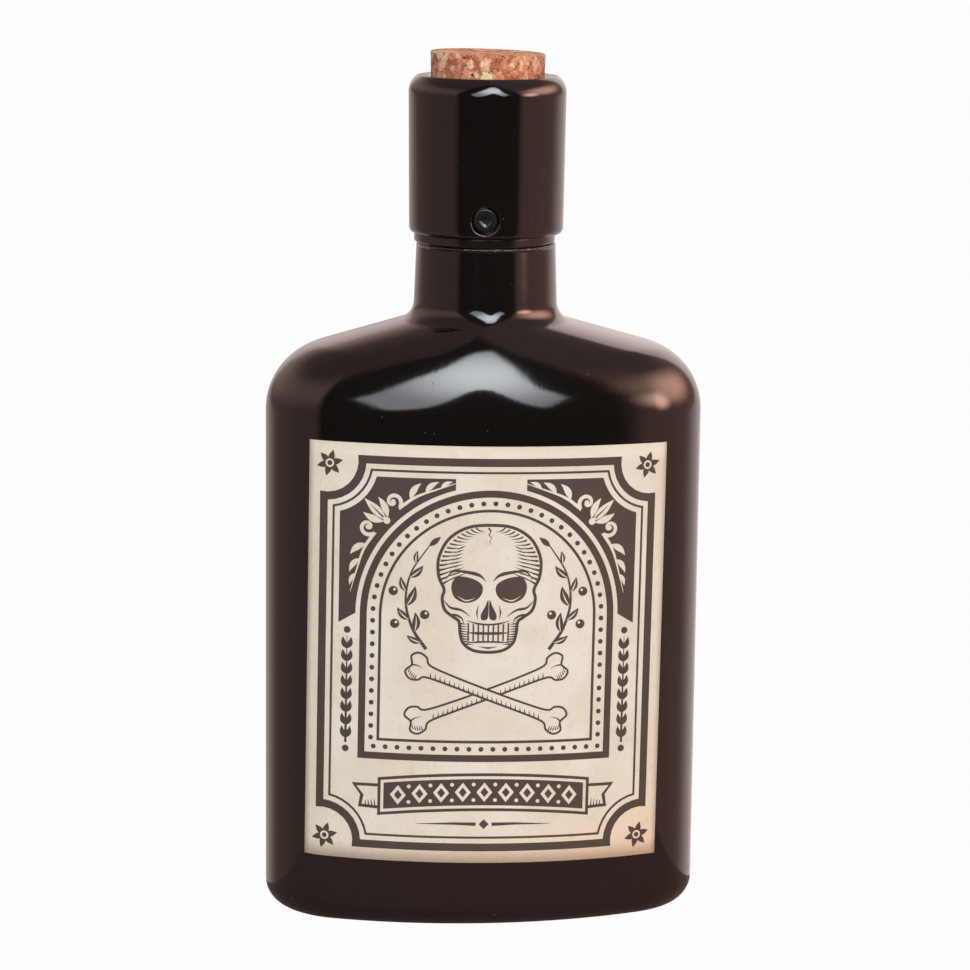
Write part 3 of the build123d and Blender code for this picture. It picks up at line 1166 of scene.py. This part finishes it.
def stroke(points, widths):
    """Outline of a line whose width changes evenly through the given widths."""
    line = np.array(points)
    ahead = np.gradient(line, axis=0)
    ahead /= np.linalg.norm(ahead, axis=1)[:, None]
    aside = np.stack([-ahead[:, 1], ahead[:, 0]], axis=1)
    places = np.linspace(0, len(widths) - 1, len(line))
    half = np.interp(places, range(len(widths)), widths)[:, None] / 2
    return [*(line + aside * half), *(line - aside * half)[::-1]]


def grown(outline, margin):
    """A closed outline moved outwards by a margin."""
    loop = np.array(outline)
    following = np.roll(loop, -1, axis=0)
    ahead = following - np.roll(loop, 1, axis=0)
    ahead /= np.linalg.norm(ahead, axis=1)[:, None]
    area = np.sum(loop[:, 0] * following[:, 1] - loop[:, 1] * following[:, 0])
    outward = np.stack([ahead[:, 1], -ahead[:, 0]], axis=1) * np.sign(area)
    return list(loop + outward * margin)


def dot(u, v, radius, count=12):
    """A filled circle."""
    turns = np.linspace(0, 2 * math.pi, count, endpoint=False)
    return [(u + radius * math.cos(turn), v + radius * math.sin(turn)) for turn in turns]


def leaf(u, v, length, width, turn, bend=0.0):
    """A pointed leaf from its stalk."""
    spine = [
        (u + length * share * math.cos(turn + bend * share),
         v + length * share * math.sin(turn + bend * share))
        for share in np.linspace(0, 1, 8)
    ]
    return stroke(spine, [0.1 * width, 0.75 * width, width, 0.6 * width, 0.04])


def curl(u, v, radius, start, turns):
    """Points that wind from a radius towards the middle."""
    points = []
    for share in np.linspace(0, 1, 24):
        reach = radius * (1 - 0.8 * share)
        turn = start + turns * 2 * math.pi * share
        points.append((u + reach * math.cos(turn), v + reach * math.sin(turn)))
    return points


def mirrored(shapes):
    """Shapes with their twins on the label's other side, in the same order."""
    both = []
    for outline, tone in shapes:
        both += [(outline, tone), ([(-u, v) for u, v in outline[::-1]], tone)]
    return both


def notched(inset):
    """The label's outline, set in, with a hollow arc round each corner's rosette."""
    radius = notch_radius + inset - frame_inset
    short = math.asin((inset - notch_inset) / radius)
    outline = []
    for quarter, (side, level) in enumerate(((1, 1), (-1, 1), (-1, -1), (1, -1))):
        u = side * (sheet_half_width - notch_inset)
        v = level * (sheet_half_height - notch_inset)
        first = math.pi / 2 * (quarter + 3) - short
        last = math.pi / 2 * (quarter + 2) + short
        for turn in np.linspace(first, last, 9):
            outline.append((u + radius * math.cos(turn), v + radius * math.sin(turn)))
    return outline


def ruled(shape, insets):
    """Lines drawn in pairs of insets of a shape: ink from the first to the second, and so on."""
    return [(shape(inset), PAPER if place % 2 else INK) for place, inset in enumerate(insets)]


def draw_frame():
    """Two notched rules with a rosette in each corner."""
    shapes = ruled(notched, frame_rules)
    for side in (-1, 1):
        for level in (-1, 1):
            u = side * (sheet_half_width - rosette_inset)
            v = level * (sheet_half_height - rosette_inset)
            for petal in range(6):
                shapes.append((leaf(u, v, 2.7, 1.35, math.radians(60 * petal + 15)), INK))
            shapes += [(dot(u, v, 0.9), PAPER), (dot(u, v, 0.5), INK)]
    return shapes


def window(inset, steps=60):
    """The window with its round top, set in by the same margin all round."""
    reach = window_reach - inset
    foot = window_sill + inset
    turns = np.linspace(0, math.pi, steps + 1)
    top = [(reach * math.cos(t), window_middle + reach * math.sin(t)) for t in turns]
    return [(reach, foot), *top, (-reach, foot)]


def draw_palmette(middle, outward):
    """Light leaves and two curls on a dark corner; outward leads away from the window."""
    up = np.array([math.cos(outward), math.sin(outward)])
    side = np.array([-up[1], up[0]])
    shapes = []
    for flip in (1, -1):
        stem = through([(15.6, -6.6), (11.8, -4.6), (8.2, -2.8), (5.4, -1.95)])[:-1]
        stem += curl(3.6, 0.0, 1.75, math.radians(-100), 1.1)
        parts = [
            stroke(stem, [0.1, 0.45, 0.8, 0.75, 0.6, 0.4]),
            dot(3.6, 0.0, 0.5),
            leaf(6.4, -2.1, 3.8, 1.4, math.radians(40), -0.5),
            leaf(9.4, -3.3, 3.4, 1.2, math.radians(22), -0.5),
            leaf(12.2, -4.7, 2.6, 0.9, math.radians(4), -0.4),
            leaf(0.6, -1.4, 4.4, 1.5, math.radians(52), 0.3),
        ]
        for part in parts:
            shapes.append(([middle + side * flip * a + up * b for a, b in part], PAPER))
    middle_parts = [
        (leaf(0.0, -1.6, 6.0, 1.9, math.pi / 2), PAPER),
        (stroke([(0.0, -0.8), (0.0, 1.0), (0.0, 2.8)], [0.32, 0.24, 0.05]), INK),
        (dot(0.0, -1.75, 0.7), PAPER),
    ]
    for part, tone in middle_parts:
        shapes.append(([middle + side * a + up * b for a, b in part], tone))
    return shapes


def draw_window():
    """Dark upper corners with palmettes, and the window's two rules."""
    corner = [(u, v) for u, v in notched(6.5) if u > 0 and v > 0]
    ground = [(29.8, 6.0), *corner, (7.0, 35.7), (7.0, 20.0)]
    shapes = mirrored([(ground, INK)])
    shapes.append((window(-window_margin), PAPER))
    shapes += mirrored(draw_palmette(np.array(palmette_middle), palmette_turn))
    return shapes + ruled(window, window_rules)


def draw_stems():
    """A straight leafy stem on each side of the window."""
    u = stem_place
    shapes = [(stroke([(u, -18.4), (u, -6.0), (u, 3.4)], [0.5, 0.36, 0.1]), INK)]
    for step in range(8):
        for lean in (-1, 1):
            turn = math.pi / 2 - lean * math.radians(42)
            shapes.append((leaf(u, -17.4 + 2.6 * step, 2.5, 1.15, turn, 0.4 * lean), INK))
    return mirrored([*shapes, (dot(u, 4.6, 0.7), INK), (dot(u, -19.6, 0.7), INK)])


def draw_sprigs():
    """A sprig of nightshade on each side of the skull, with leaves and berries."""
    stem = through([(12.2, 1.4), (15.0, 5.6), (16.4, 11.0), (15.4, 16.8), (12.0, 22.2)], 6)
    shapes = [(stroke(stem, [0.7, 0.55, 0.4, 0.25]), INK)]
    for step, length in enumerate((3.2, 4.0, 3.4, 4.4, 3.2, 3.6, 2.6)):
        lean = 1 if step % 2 == 0 else -1
        foot = stem[2 + 3 * step]
        ahead = stem[3 + 3 * step] - foot
        turn = math.atan2(ahead[1], ahead[0]) - lean * math.radians(48)
        shapes.append((leaf(*foot, length, 0.42 * length, turn, 0.35 * lean), INK))
        shapes.append((leaf(*foot, 0.8 * length, 0.3, turn, 0.28 * lean), PAPER))
    shapes.append((leaf(*stem[-1], 3.0, 1.2, math.radians(140)), INK))
    for u, v in ((18.5, 6.4), (12.6, 8.4), (18.9, 13.0)):
        shapes += [(dot(u, v, 0.95), INK), (dot(u - 0.25, v + 0.3, 0.28), PAPER)]
    return mirrored(shapes)


def draw_bone(lean):
    """One of the two crossed bones, rising to the right or the left."""
    along = np.array([lean * math.cos(bone_slope), math.sin(bone_slope)])
    across = np.array([-along[1], along[0]]) * lean
    end = bone_half_length

    def at(distance, side):
        """A point at a distance along the bone from its middle, and to its side."""
        return np.array(bone_crossing) + along * distance + across * side

    half = [
        (end - 2.4, 1.25), (end - 1.2, 2.5), (end + 0.6, 2.85), (end + 1.75, 1.7),
        (end + 1.0, 0.1), (end + 1.75, -1.6), (end + 0.5, -2.7), (end - 1.2, -2.35),
        (end - 2.4, -1.25), (end / 2, -0.98), (0, -0.95), (-end / 2, -0.98),
    ]
    outline = through([at(flip * d, flip * s) for flip in (1, -1) for d, s in half], closed=True)
    shapes = [(grown(outline, 0.22), INK), (grown(outline, -0.2), PAPER)]
    for distance in np.linspace(3.4 - end, end - 3.4, 24):
        hatch = [at(distance, -0.85), at(distance + 0.25, -0.45), at(distance + 0.35, 0.05)]
        shapes.append((stroke(hatch, [0.3, 0.04]), INK))
    for flip in (-1, 1):
        for step in range(5):
            distance = flip * (end - 0.6 + 0.42 * step)
            start = -2.45 + 0.05 * step ** 2
            hatch = [at(distance, start), at(distance, start + 1.0)]
            shapes.append((stroke(hatch, [0.3, 0.05]), INK))
        groove = [(end + 0.9, 0.1), (end - 0.1, 0.35), (end - 1.3, 0.2)]
        groove = through([at(flip * d, s) for d, s in groove])
        shapes.append((stroke(groove, [0.36, 0.05]), INK))
    return shapes


def on_skull(points):
    """Points of the skull's drawing, moved to its place."""
    middle_u, middle_v = skull_middle
    return [(middle_u + skull_scale * u, middle_v + skull_scale * v) for u, v in points]


def skull_line(points, widths, tone=INK):
    """A line of the skull's drawing."""
    return stroke(through(on_skull(points)), widths), tone


def draw_skull_hatching():
    """Shading on one half of the skull: the crown's two rows and the jaw's."""
    shapes = []
    crown = np.array([0.0, 3.2])
    for step in range(16):
        turn = math.radians(-17 + 6 * step)
        rim = crown + (11.95 * math.cos(turn), 11.1 * math.sin(turn))
        reach = 7.7 + 0.13 * step
        tip = crown + (reach * math.cos(turn + 0.16), reach * math.sin(turn + 0.16))
        bend = (rim + tip) / 2 + (0.25, -0.15)
        shapes.append(skull_line([rim, bend, tip], [0.52 - 0.014 * step, 0.26, 0.04]))
    for step in range(9):
        turn = math.radians(-14 + 6.2 * step)
        rim = crown + (9.7 * math.cos(turn), 9.0 * math.sin(turn))
        reach = 5.3 + 0.4 * step
        tip = crown + (reach * math.cos(turn + 0.2), reach * math.sin(turn + 0.2))
        shapes.append(skull_line([rim, (rim + tip) / 2, tip], [0.04, 0.28, 0.04]))
    for step in range(9):
        v = -9.4 - 0.62 * step
        reach = 6.75 - 0.012 * step ** 2.3
        shapes.append(skull_line([(reach, v), (reach - 1, v - 0.15), (reach - 1.8, v - 0.1)],
                                 [0.34, 0.04]))
    return shapes


def draw_skull():
    """A plain skull seen from the front, the old sign for poison."""
    half = [
        (5.4, 13.8), (9.8, 11.0), (12.1, 6.4), (12.0, 1.9), (10.7, -1.2), (11.1, -3.4),
        (10.4, -6.2), (8.3, -7.9), (7.0, -9.0), (6.7, -11.6), (5.9, -14.2), (3.6, -15.9),
    ]
    other_half = [(-u, v) for u, v in half[::-1]]
    head = through(on_skull([(0, 14.4), *half, (0, -16.4), *other_half]), 5, closed=True)
    eye = [(1.9, 0.2), (4.4, 1.6), (7.6, 1.9), (9.0, -0.2), (8.3, -3.0), (5.7, -4.4),
           (3.0, -3.7), (1.6, -1.8)]
    nose = [(0.14, -3.7), (0.9, -5.3), (1.8, -7.1), (1.8, -8.3), (1.0, -8.6), (0.14, -7.8)]
    socket_light = [(3.2, -3.2), (5.5, -3.85), (7.6, -2.7)]
    brow = [(0.9, 0.9), (2.4, 2.3), (5.2, 3.0), (8.6, 3.2), (10.4, 1.2)]
    cheek = [(10.6, -4.0), (9.1, -5.6), (6.5, -6.2), (4.4, -7.7)]
    jaw = [(8.7, -7.4), (7.5, -7.5), (6.3, -8.3), (5.8, -9.7)]
    nose_side = [(2.4, -4.9), (2.8, -6.6), (2.6, -8.5)]
    one_half = [
        (through(on_skull(eye), closed=True), INK),
        skull_line(socket_light, [0.03, 0.3, 0.03], PAPER),
        skull_line(brow, [0.1, 0.75, 0.45, 0.12]),
        (through(on_skull(nose), closed=True), INK),
        skull_line(nose_side, [0.05, 0.34, 0.05]),
        skull_line(cheek, [0.12, 0.55, 0.1]),
        skull_line(jaw, [0.55, 0.4, 0.06]),
    ]
    shapes = [(grown(head, 0.32), INK), (grown(head, -0.3), PAPER)]
    shapes += mirrored(one_half + draw_skull_hatching())
    for top, bottom in ((-9.75, -11.7), (-11.9, -13.7)):
        for tooth in range(-4, 5):
            u = 1.2 * tooth
            shapes.append(skull_line([(u, top + 0.02 * u * u), (0.985 * u, bottom)], [0.32, 0.32]))
    for height, bow, width in ((-9.65, 0.035, 0.36), (-11.8, 0.006, 0.55), (-13.85, -0.012, 0.36)):
        lip = [(u, height + bow * u * u) for u in (-5.1, -2.6, 0.0, 2.6, 5.1)]
        shapes.append(skull_line(lip, [0.08, width, width, width, 0.08]))
    shapes.append(skull_line([(-2.2, -15.0), (0, -15.35), (2.2, -15.0)], [0.05, 0.4, 0.05]))
    seam = [(-0.5, 13.8), (0.1, 12.9), (-0.4, 12.2), (0.3, 11.3), (-0.2, 10.5), (0.2, 9.6)]
    shapes.append((stroke(on_skull(seam), [0.36, 0.2, 0.05]), INK))
    return shapes


def ribbon_height(u):
    """Height of the arched ribbon's middle line."""
    return ribbon_crown - ribbon_sag * u ** 2


def ribbon_band(inset):
    """The arched ribbon, set in by a margin."""
    half_width = ribbon_half_width - inset
    ends = np.linspace(inset - ribbon_half_length, ribbon_half_length - inset, 25)
    top = [(u, ribbon_height(u) + half_width) for u in ends]
    return top + [(u, ribbon_height(u) - half_width) for u in ends[::-1]]


def draw_ribbon():
    """A ribbon of diamonds with folded tails, and a thin rule under it."""
    root = tail_root
    tip = ribbon_half_length
    tail = [(root, -26.4), (26.6, -26.5), (24.8, -28.9), (25.2, -31.4), (root, -31.8)]
    tail_light = [(root, -27.0), (25.6, -27.1), (24.1, -28.9), (24.5, -30.8), (root, -31.2)]
    fold = [(root, -31.8), (tip, -33.0), (tip, -30.9), (root, -30.5)]
    side = [(tail, INK), (tail_light, PAPER), (fold, INK)]
    for step in range(4):
        u = 21.8 + 0.62 * step
        pleat = [(u, -31.2), (u + 0.1, -30.2), (u + 0.2, -29.4 - 0.2 * step)]
        side.append((stroke(pleat, [0.3, 0.04]), INK))
    shapes = mirrored(side) + ruled(ribbon_band, ribbon_rules)
    for step in range(-4, 5):
        u = diamond_spacing * step
        v = ribbon_height(u)
        for half_u, half_v, tone in ((1.6, 2.0, PAPER), (0.8, 1.0, INK)):
            diamond = [(u - half_u, v), (u, v + half_v), (u + half_u, v), (u, v - half_v)]
            shapes.append((diamond, tone))
    for step in range(-4, 4):
        u = diamond_spacing * (step + 0.5)
        for lift in (-1.6, 1.6):
            shapes.append((dot(u, ribbon_height(u) + lift, 0.4), PAPER))
    shapes.append(([(-1.0, -34.2), (0, -33.2), (1.0, -34.2), (0, -35.2)], INK))
    rule = [(1.6, -34.2), (6, -34.1), (13.5, -34.3)]
    return shapes + mirrored([(stroke(rule, [0.7, 0.5, 0.06]), INK)])


def covers(outline, spots):
    """Which spots an outline goes round."""
    start = np.array(outline, float)
    end = np.roll(start, -1, axis=0)
    u = spots[:, 0, None]
    v = spots[:, 1, None]
    side = (end[:, 0] - start[:, 0]) * (v - start[:, 1])
    side = side - (u - start[:, 0]) * (end[:, 1] - start[:, 1])
    rising = (start[:, 1] <= v) & (end[:, 1] > v) & (side > 0)
    falling = (start[:, 1] > v) & (end[:, 1] <= v) & (side < 0)
    return rising.sum(axis=1) != falling.sum(axis=1)


def ink_relief(shapes):
    """The inked regions of a drawing as a flat closed relief, cut at the paper's bends."""
    corners = []
    edges = []
    for outline, _ in shapes:
        first = len(corners)
        count = len(outline)
        corners += [Vector((float(u), float(v))) for u, v in outline]
        edges += [(first + i, first + (i + 1) % count) for i in range(count)]
    for u in np.linspace(-sheet_half_width, sheet_half_width, sheet_columns + 1)[1:-1]:
        edges.append((len(corners), len(corners) + 1))
        corners += [Vector((u, -sheet_half_height)), Vector((u, sheet_half_height))]
    points, _, triangles, _, _, _ = delaunay_2d_cdt(corners, edges, [], 0, 1e-5, False)
    flat = np.array([tuple(point) for point in points])
    triangles = np.array(triangles)
    middles = flat[triangles].mean(axis=1)
    tones = np.full(len(triangles), PAPER)
    for outline, tone in shapes:
        loop = np.array(outline, float)
        near = np.all((middles > loop.min(axis=0)) & (middles < loop.max(axis=0)), axis=1)
        near = np.nonzero(near)[0]
        tones[near[covers(loop, middles[near])]] = tone
    inked = [tuple(int(i) for i in triangle) for triangle in triangles[tones == INK]]
    used = sorted({corner for triangle in inked for corner in triangle})
    shell = Shell()
    numbers = {}
    for level in (-ink_sink, ink_rise):
        ring = shell.ring([(flat[i, 0] * MM, flat[i, 1] * MM, level) for i in used])
        numbers[level] = dict(zip(used, ring))
    under = numbers[-ink_sink]
    over = numbers[ink_rise]
    sides = {(a, b) for t in inked for a, b in zip(t, (*t[1:], t[0]))}
    for a, b, c in inked:
        shell.faces.append((over[a], over[b], over[c]))
        shell.faces.append((under[c], under[b], under[a]))
    for a, b in sorted(sides):
        if (b, a) not in sides:
            shell.faces.append((under[a], under[b], over[b], over[a]))
    return shell


def new_growth(name, sizes):
    """An empty geometry tree: its board and a wire for each of its named inputs."""
    tree = bpy.data.node_groups.new(name, "GeometryNodeTree")
    board = Board(tree)
    tree.interface.new_socket("Mesh", in_out="OUTPUT", socket_type="NodeSocketGeometry")
    tree.interface.new_socket("Mesh", in_out="INPUT", socket_type="NodeSocketGeometry")
    for size, kind in sizes.items():
        tree.interface.new_socket(size, in_out="INPUT", socket_type="NodeSocket" + kind)
    entry = board.add("NodeGroupInput").socket.node
    return board, {socket.name: Wire(board, socket) for socket in entry.outputs}


def finish_growth(board, shape, material):
    """Ends a geometry tree with plain geometry in one material."""
    plain = board.add("GeometryNodeRealizeInstances", None, {"Geometry": shape})
    dressed = board.add("GeometryNodeSetMaterial", None,
                        {"Geometry": plain, "Material": material})
    board.add("NodeGroupOutput", None, {"Mesh": dressed})


def grow(start, board, sizes):
    """The plain mesh that a geometry tree makes from a start mesh and its sizes."""
    carrier = bpy.data.objects.new("start", start)
    bpy.context.scene.collection.objects.link(carrier)
    modifier = carrier.modifiers.new("growth", "NODES")
    modifier.node_group = board.tree
    for item in board.tree.interface.items_tree:
        if item.in_out == "INPUT" and item.name in sizes:
            modifier[item.identifier] = sizes[item.name]
    graph = bpy.context.evaluated_depsgraph_get()
    mesh = bpy.data.meshes.new_from_object(carrier.evaluated_get(graph))
    carrier.modifiers.remove(modifier)
    bpy.data.objects.remove(carrier)
    return mesh


def grow_beads(ink):
    """Round dots of ink, evenly spaced between the window's two rules."""
    board, given = new_growth("bead_row", {
        "Bead Radius": "Float", "Bead Height": "Float", "Bead Count": "Int",
    })
    path = board.add("GeometryNodeMeshToCurve", None, {"Mesh": given["Mesh"]})
    spots = board.add("GeometryNodeResampleCurve", {"mode": "COUNT"},
                      {"Curve": path, "Count": given["Bead Count"]})
    bead = board.add("GeometryNodeMeshCylinder", None, {
        "Vertices": bead_sides, "Radius": given["Bead Radius"], "Depth": given["Bead Height"],
    })
    row = board.add("GeometryNodeInstanceOnPoints", None, {"Points": spots, "Instance": bead},
                    "Instances")
    finish_growth(board, row, ink)
    line = window(bead_inset, steps=40)
    middle = (ink_rise - ink_sink) / 2
    start = bpy.data.meshes.new("bead_line")
    count = len(line)
    start.from_pydata([(u * MM, v * MM, middle) for u, v in line],
                      [(i, (i + 1) % count) for i in range(count)], [])
    return grow(start, board, {
        "Bead Radius": bead_radius * MM,
        "Bead Height": ink_rise + ink_sink,
        "Bead Count": bead_count,
    })


def make_label_print(ink):
    """The label's printed design, a thin relief of ink on the paper."""
    drawing = draw_frame() + draw_window() + draw_stems() + draw_sprigs()
    drawing += draw_bone(1) + draw_bone(-1) + draw_skull() + draw_ribbon()
    shell = ink_relief(drawing)
    beads = grow_beads(ink)
    first = len(shell.points)
    shell.points += [tuple(vertex.co) for vertex in beads.vertices]
    shell.faces += [tuple(first + i for i in face.vertices) for face in beads.polygons]
    shell.points = [on_label(u, v, label_top_lift + lift) for u, v, lift in shell.points]
    artwork = shell.make("label_print", ink)
    artwork.data.shade_flat()
    fit(artwork, "bottle_body", "label_paper")


def floor_surface(name, dark, light):
    """Pale floor that the camera sees nearly white, with a little of its shadow."""
    material, board = new_finish(name)
    tone = board.mix(board.grain(board.place(), floor_cloud_size), dark, light)
    base = board.add("ShaderNodeBsdfDiffuse", None, {"Color": tone}, "BSDF")
    white = board.add("ShaderNodeEmission", None, {"Color": white_light, "Strength": 1.0},
                      "Emission")
    surface = board.add("ShaderNodeMixShader", None, {
        0: board.ray("Camera") * floor_whiteness, 1: base, 2: white,
    })
    board.add("ShaderNodeOutputMaterial", None, {"Surface": surface})
    return material


def make_floor():
    """Pale floor, warm under the bottle; past the near floor, the paint mirrors the room."""
    angles = np.linspace(0, 2 * math.pi, floor_columns, endpoint=False)
    edge = circle_ring(near_floor_reach, 0.0, angles) + (0.0, near_floor_shift, 0.0)
    near = Shell()
    near.cap(near.ring(edge), (0, near_floor_shift, 0), below=False)
    far = Shell()
    far.band(far.ring(circle_ring(far_floor_reach, 0.0, angles)), far.ring(edge))
    near_floor = near.make("near_floor", floor_surface("floor_near", *near_floor_tones))
    far_floor = far.make("far_floor", floor_surface("floor_far", *far_floor_tones))
    far_floor.visible_glossy = False


def oval(board, turn, rise, middle, half_size):
    """A soft-edged oval part of the room: 1 inside it and 0 outside."""
    across = (turn - middle[0]) / half_size[0]
    upward = (rise - middle[1]) / half_size[1]
    reach = (across ** 2.0 + upward ** 2.0) ** 0.5
    return board.between(reach, 1.0 + oval_softness, 1.0 - oval_softness)


def room_walls(board, turn, rise):
    """Warm walls with a pale band on the left, under a dim ceiling."""
    on_right = board.between(turn, -20.0, 20.0)
    band = board.between(abs(rise - band_rise), *band_half_height)
    left_wall = board.mix(band, colour(0.39, 0.265, 0.225), colour(0.84, 0.56, 0.48))
    wall_light = board.mix(on_right, left_wall, colour(0.57, 0.335, 0.275))
    ceiling = board.mix(on_right, colour(0.27, 0.19, 0.17), colour(0.36, 0.265, 0.24))
    return board.mix(board.between(rise, *ceiling_start), wall_light, ceiling)


def add_back_light(board, room, turn, rise, aside):
    """The room with its brighter end behind the bottle, which stands higher on the right."""
    left_glow = board.between(rise, -6.0, 14.0, *back_left_glow)
    right_glow = board.between(rise, -8.0, 24.0, *back_right_glow)
    glow = left_glow + (right_glow - left_glow) * board.between(aside, -0.06, 0.06)
    glow = glow * board.between(abs(aside), 0.01, 0.12, back_middle_glow, 1.0)
    top = board.between(aside, 0.05, 0.30, *back_top)
    low = board.between(rise, *back_low_rise)
    softness = low * 11.0 + 5.0
    past_edge = (abs(turn - back_turn) - back_start + low * back_low_spread) / softness
    behind = board.between(past_edge, -1.0, 1.0) * board.between(rise - top, 3.5, -3.5)
    return board.mix(behind, room, board.tinted(glow, back_tint))


def add_dark_front(board, room, turn, above):
    """The room with the dark space round the camera."""
    across = abs(turn - dark_front_turn) / dark_front_half_width
    reach = across ** dark_front_roundness + (above / dark_front_height) ** dark_front_roundness
    return board.mix(board.between(reach, *dark_front_edge), room, dark_front_tone)


def add_softbox(board, room, turn, rise, above):
    """The room with the wide lamp over the camera, which narrows towards its top."""
    middle = board.between(rise, 18.0, 50.0, *softbox_lean)
    below = rise.maths("MINIMUM", rise - softbox_shoulder, 0.0)
    wings = board.between(rise, 20.0, 11.0, 0.0, softbox_wings)
    half_width = below * softbox_foot_narrowing - above * softbox_narrowing
    half_width = half_width + wings + softbox_half_width
    across = board.between(half_width - abs(turn - middle), -1.5, 2.5)
    upright = board.between(rise, *softbox_foot) * board.between(rise, *softbox_top)
    off_shade = (turn - camera_shade_turn) / camera_shade_half_width
    camera_top = camera_shade_top * 0.5 ** (off_shade ** 2.0)
    over_camera = board.between(rise - camera_top, -1.0, 1.2)
    from_middle = ((turn - glow_middle[0]) ** 2.0 + (rise - glow_middle[1]) ** 2.0) ** 0.5
    glow = board.between(from_middle, *glow_reach, *glow_strength)
    light = board.tinted(glow, softbox_tint)
    return board.mix(across * upright * over_camera, room, light)


def make_studio():
    """The room that the paint mirrors; the camera sees white and the paper an even light."""
    world = bpy.data.worlds.new("studio")
    bpy.context.scene.world = world
    world.use_nodes = True
    board = Board(world.node_tree)
    direction = board.add("ShaderNodeTexCoord", output="Generated")
    toward = Vector((math.sin(camera_azimuth), -math.cos(camera_azimuth), 0.0))
    right = Vector((math.cos(camera_azimuth), math.sin(camera_azimuth), 0.0))
    aside = board.along(direction, right)
    height = board.axis(direction, "Z")
    turn = aside.maths("ARCTAN2", aside, board.along(direction, toward)) * math.degrees(1)
    rise = height.maths("ARCSINE", height, 0.0) * math.degrees(1)
    above = rise.maths("MAXIMUM", rise - softbox_shoulder, 0.0)

    room = room_walls(board, turn, rise)
    room = add_back_light(board, room, turn, rise, aside)
    room = add_dark_front(board, room, turn, above)
    room = board.mix(oval(board, turn, rise, streak_middle, streak_half_size), room, streak_light)
    room = board.mix(oval(board, turn, rise, lamp_middle, lamp_half_size), room, lamp_light)
    room = board.mix(board.ray("Diffuse"), room, paper_light)
    room = add_softbox(board, room, turn, rise, above)

    seen = board.mix(board.ray("Camera"), room, white_light)
    background = board.add("ShaderNodeBackground", None, {"Color": seen, "Strength": 1.0},
                           "Background")
    board.add("ShaderNodeOutputWorld", None, {"Surface": background})


def make_camera():
    """Camera at the photograph's viewing angle, with its slight roll."""
    data = bpy.data.cameras.new("camera")
    data.lens = camera_lens
    data.sensor_width = 36.0
    data.clip_start = 0.01
    out = Vector((
        math.sin(camera_azimuth) * math.cos(camera_elevation),
        -math.cos(camera_azimuth) * math.cos(camera_elevation),
        math.sin(camera_elevation),
    ))
    camera = bpy.data.objects.new("camera", data)
    camera.location = camera_aim + out * camera_distance
    camera.rotation_mode = "QUATERNION"
    level = out.to_track_quat("Z", "Y")
    camera.rotation_quaternion = level @ Matrix.Rotation(camera_roll, 4, "Z").to_quaternion()
    bpy.context.scene.collection.objects.link(camera)
    bpy.context.scene.camera = camera


bpy.context.scene.view_settings.view_transform = "Standard"
make_camera()
make_studio()
make_floor()

paint = gloss_paint()
make_bottle(paint)
make_ring(ring_paint())
make_collar(paint)
make_screw(screw_paint())
make_cork(cork_grain())
make_label(aged_paper())
make_label_print(brown_ink())
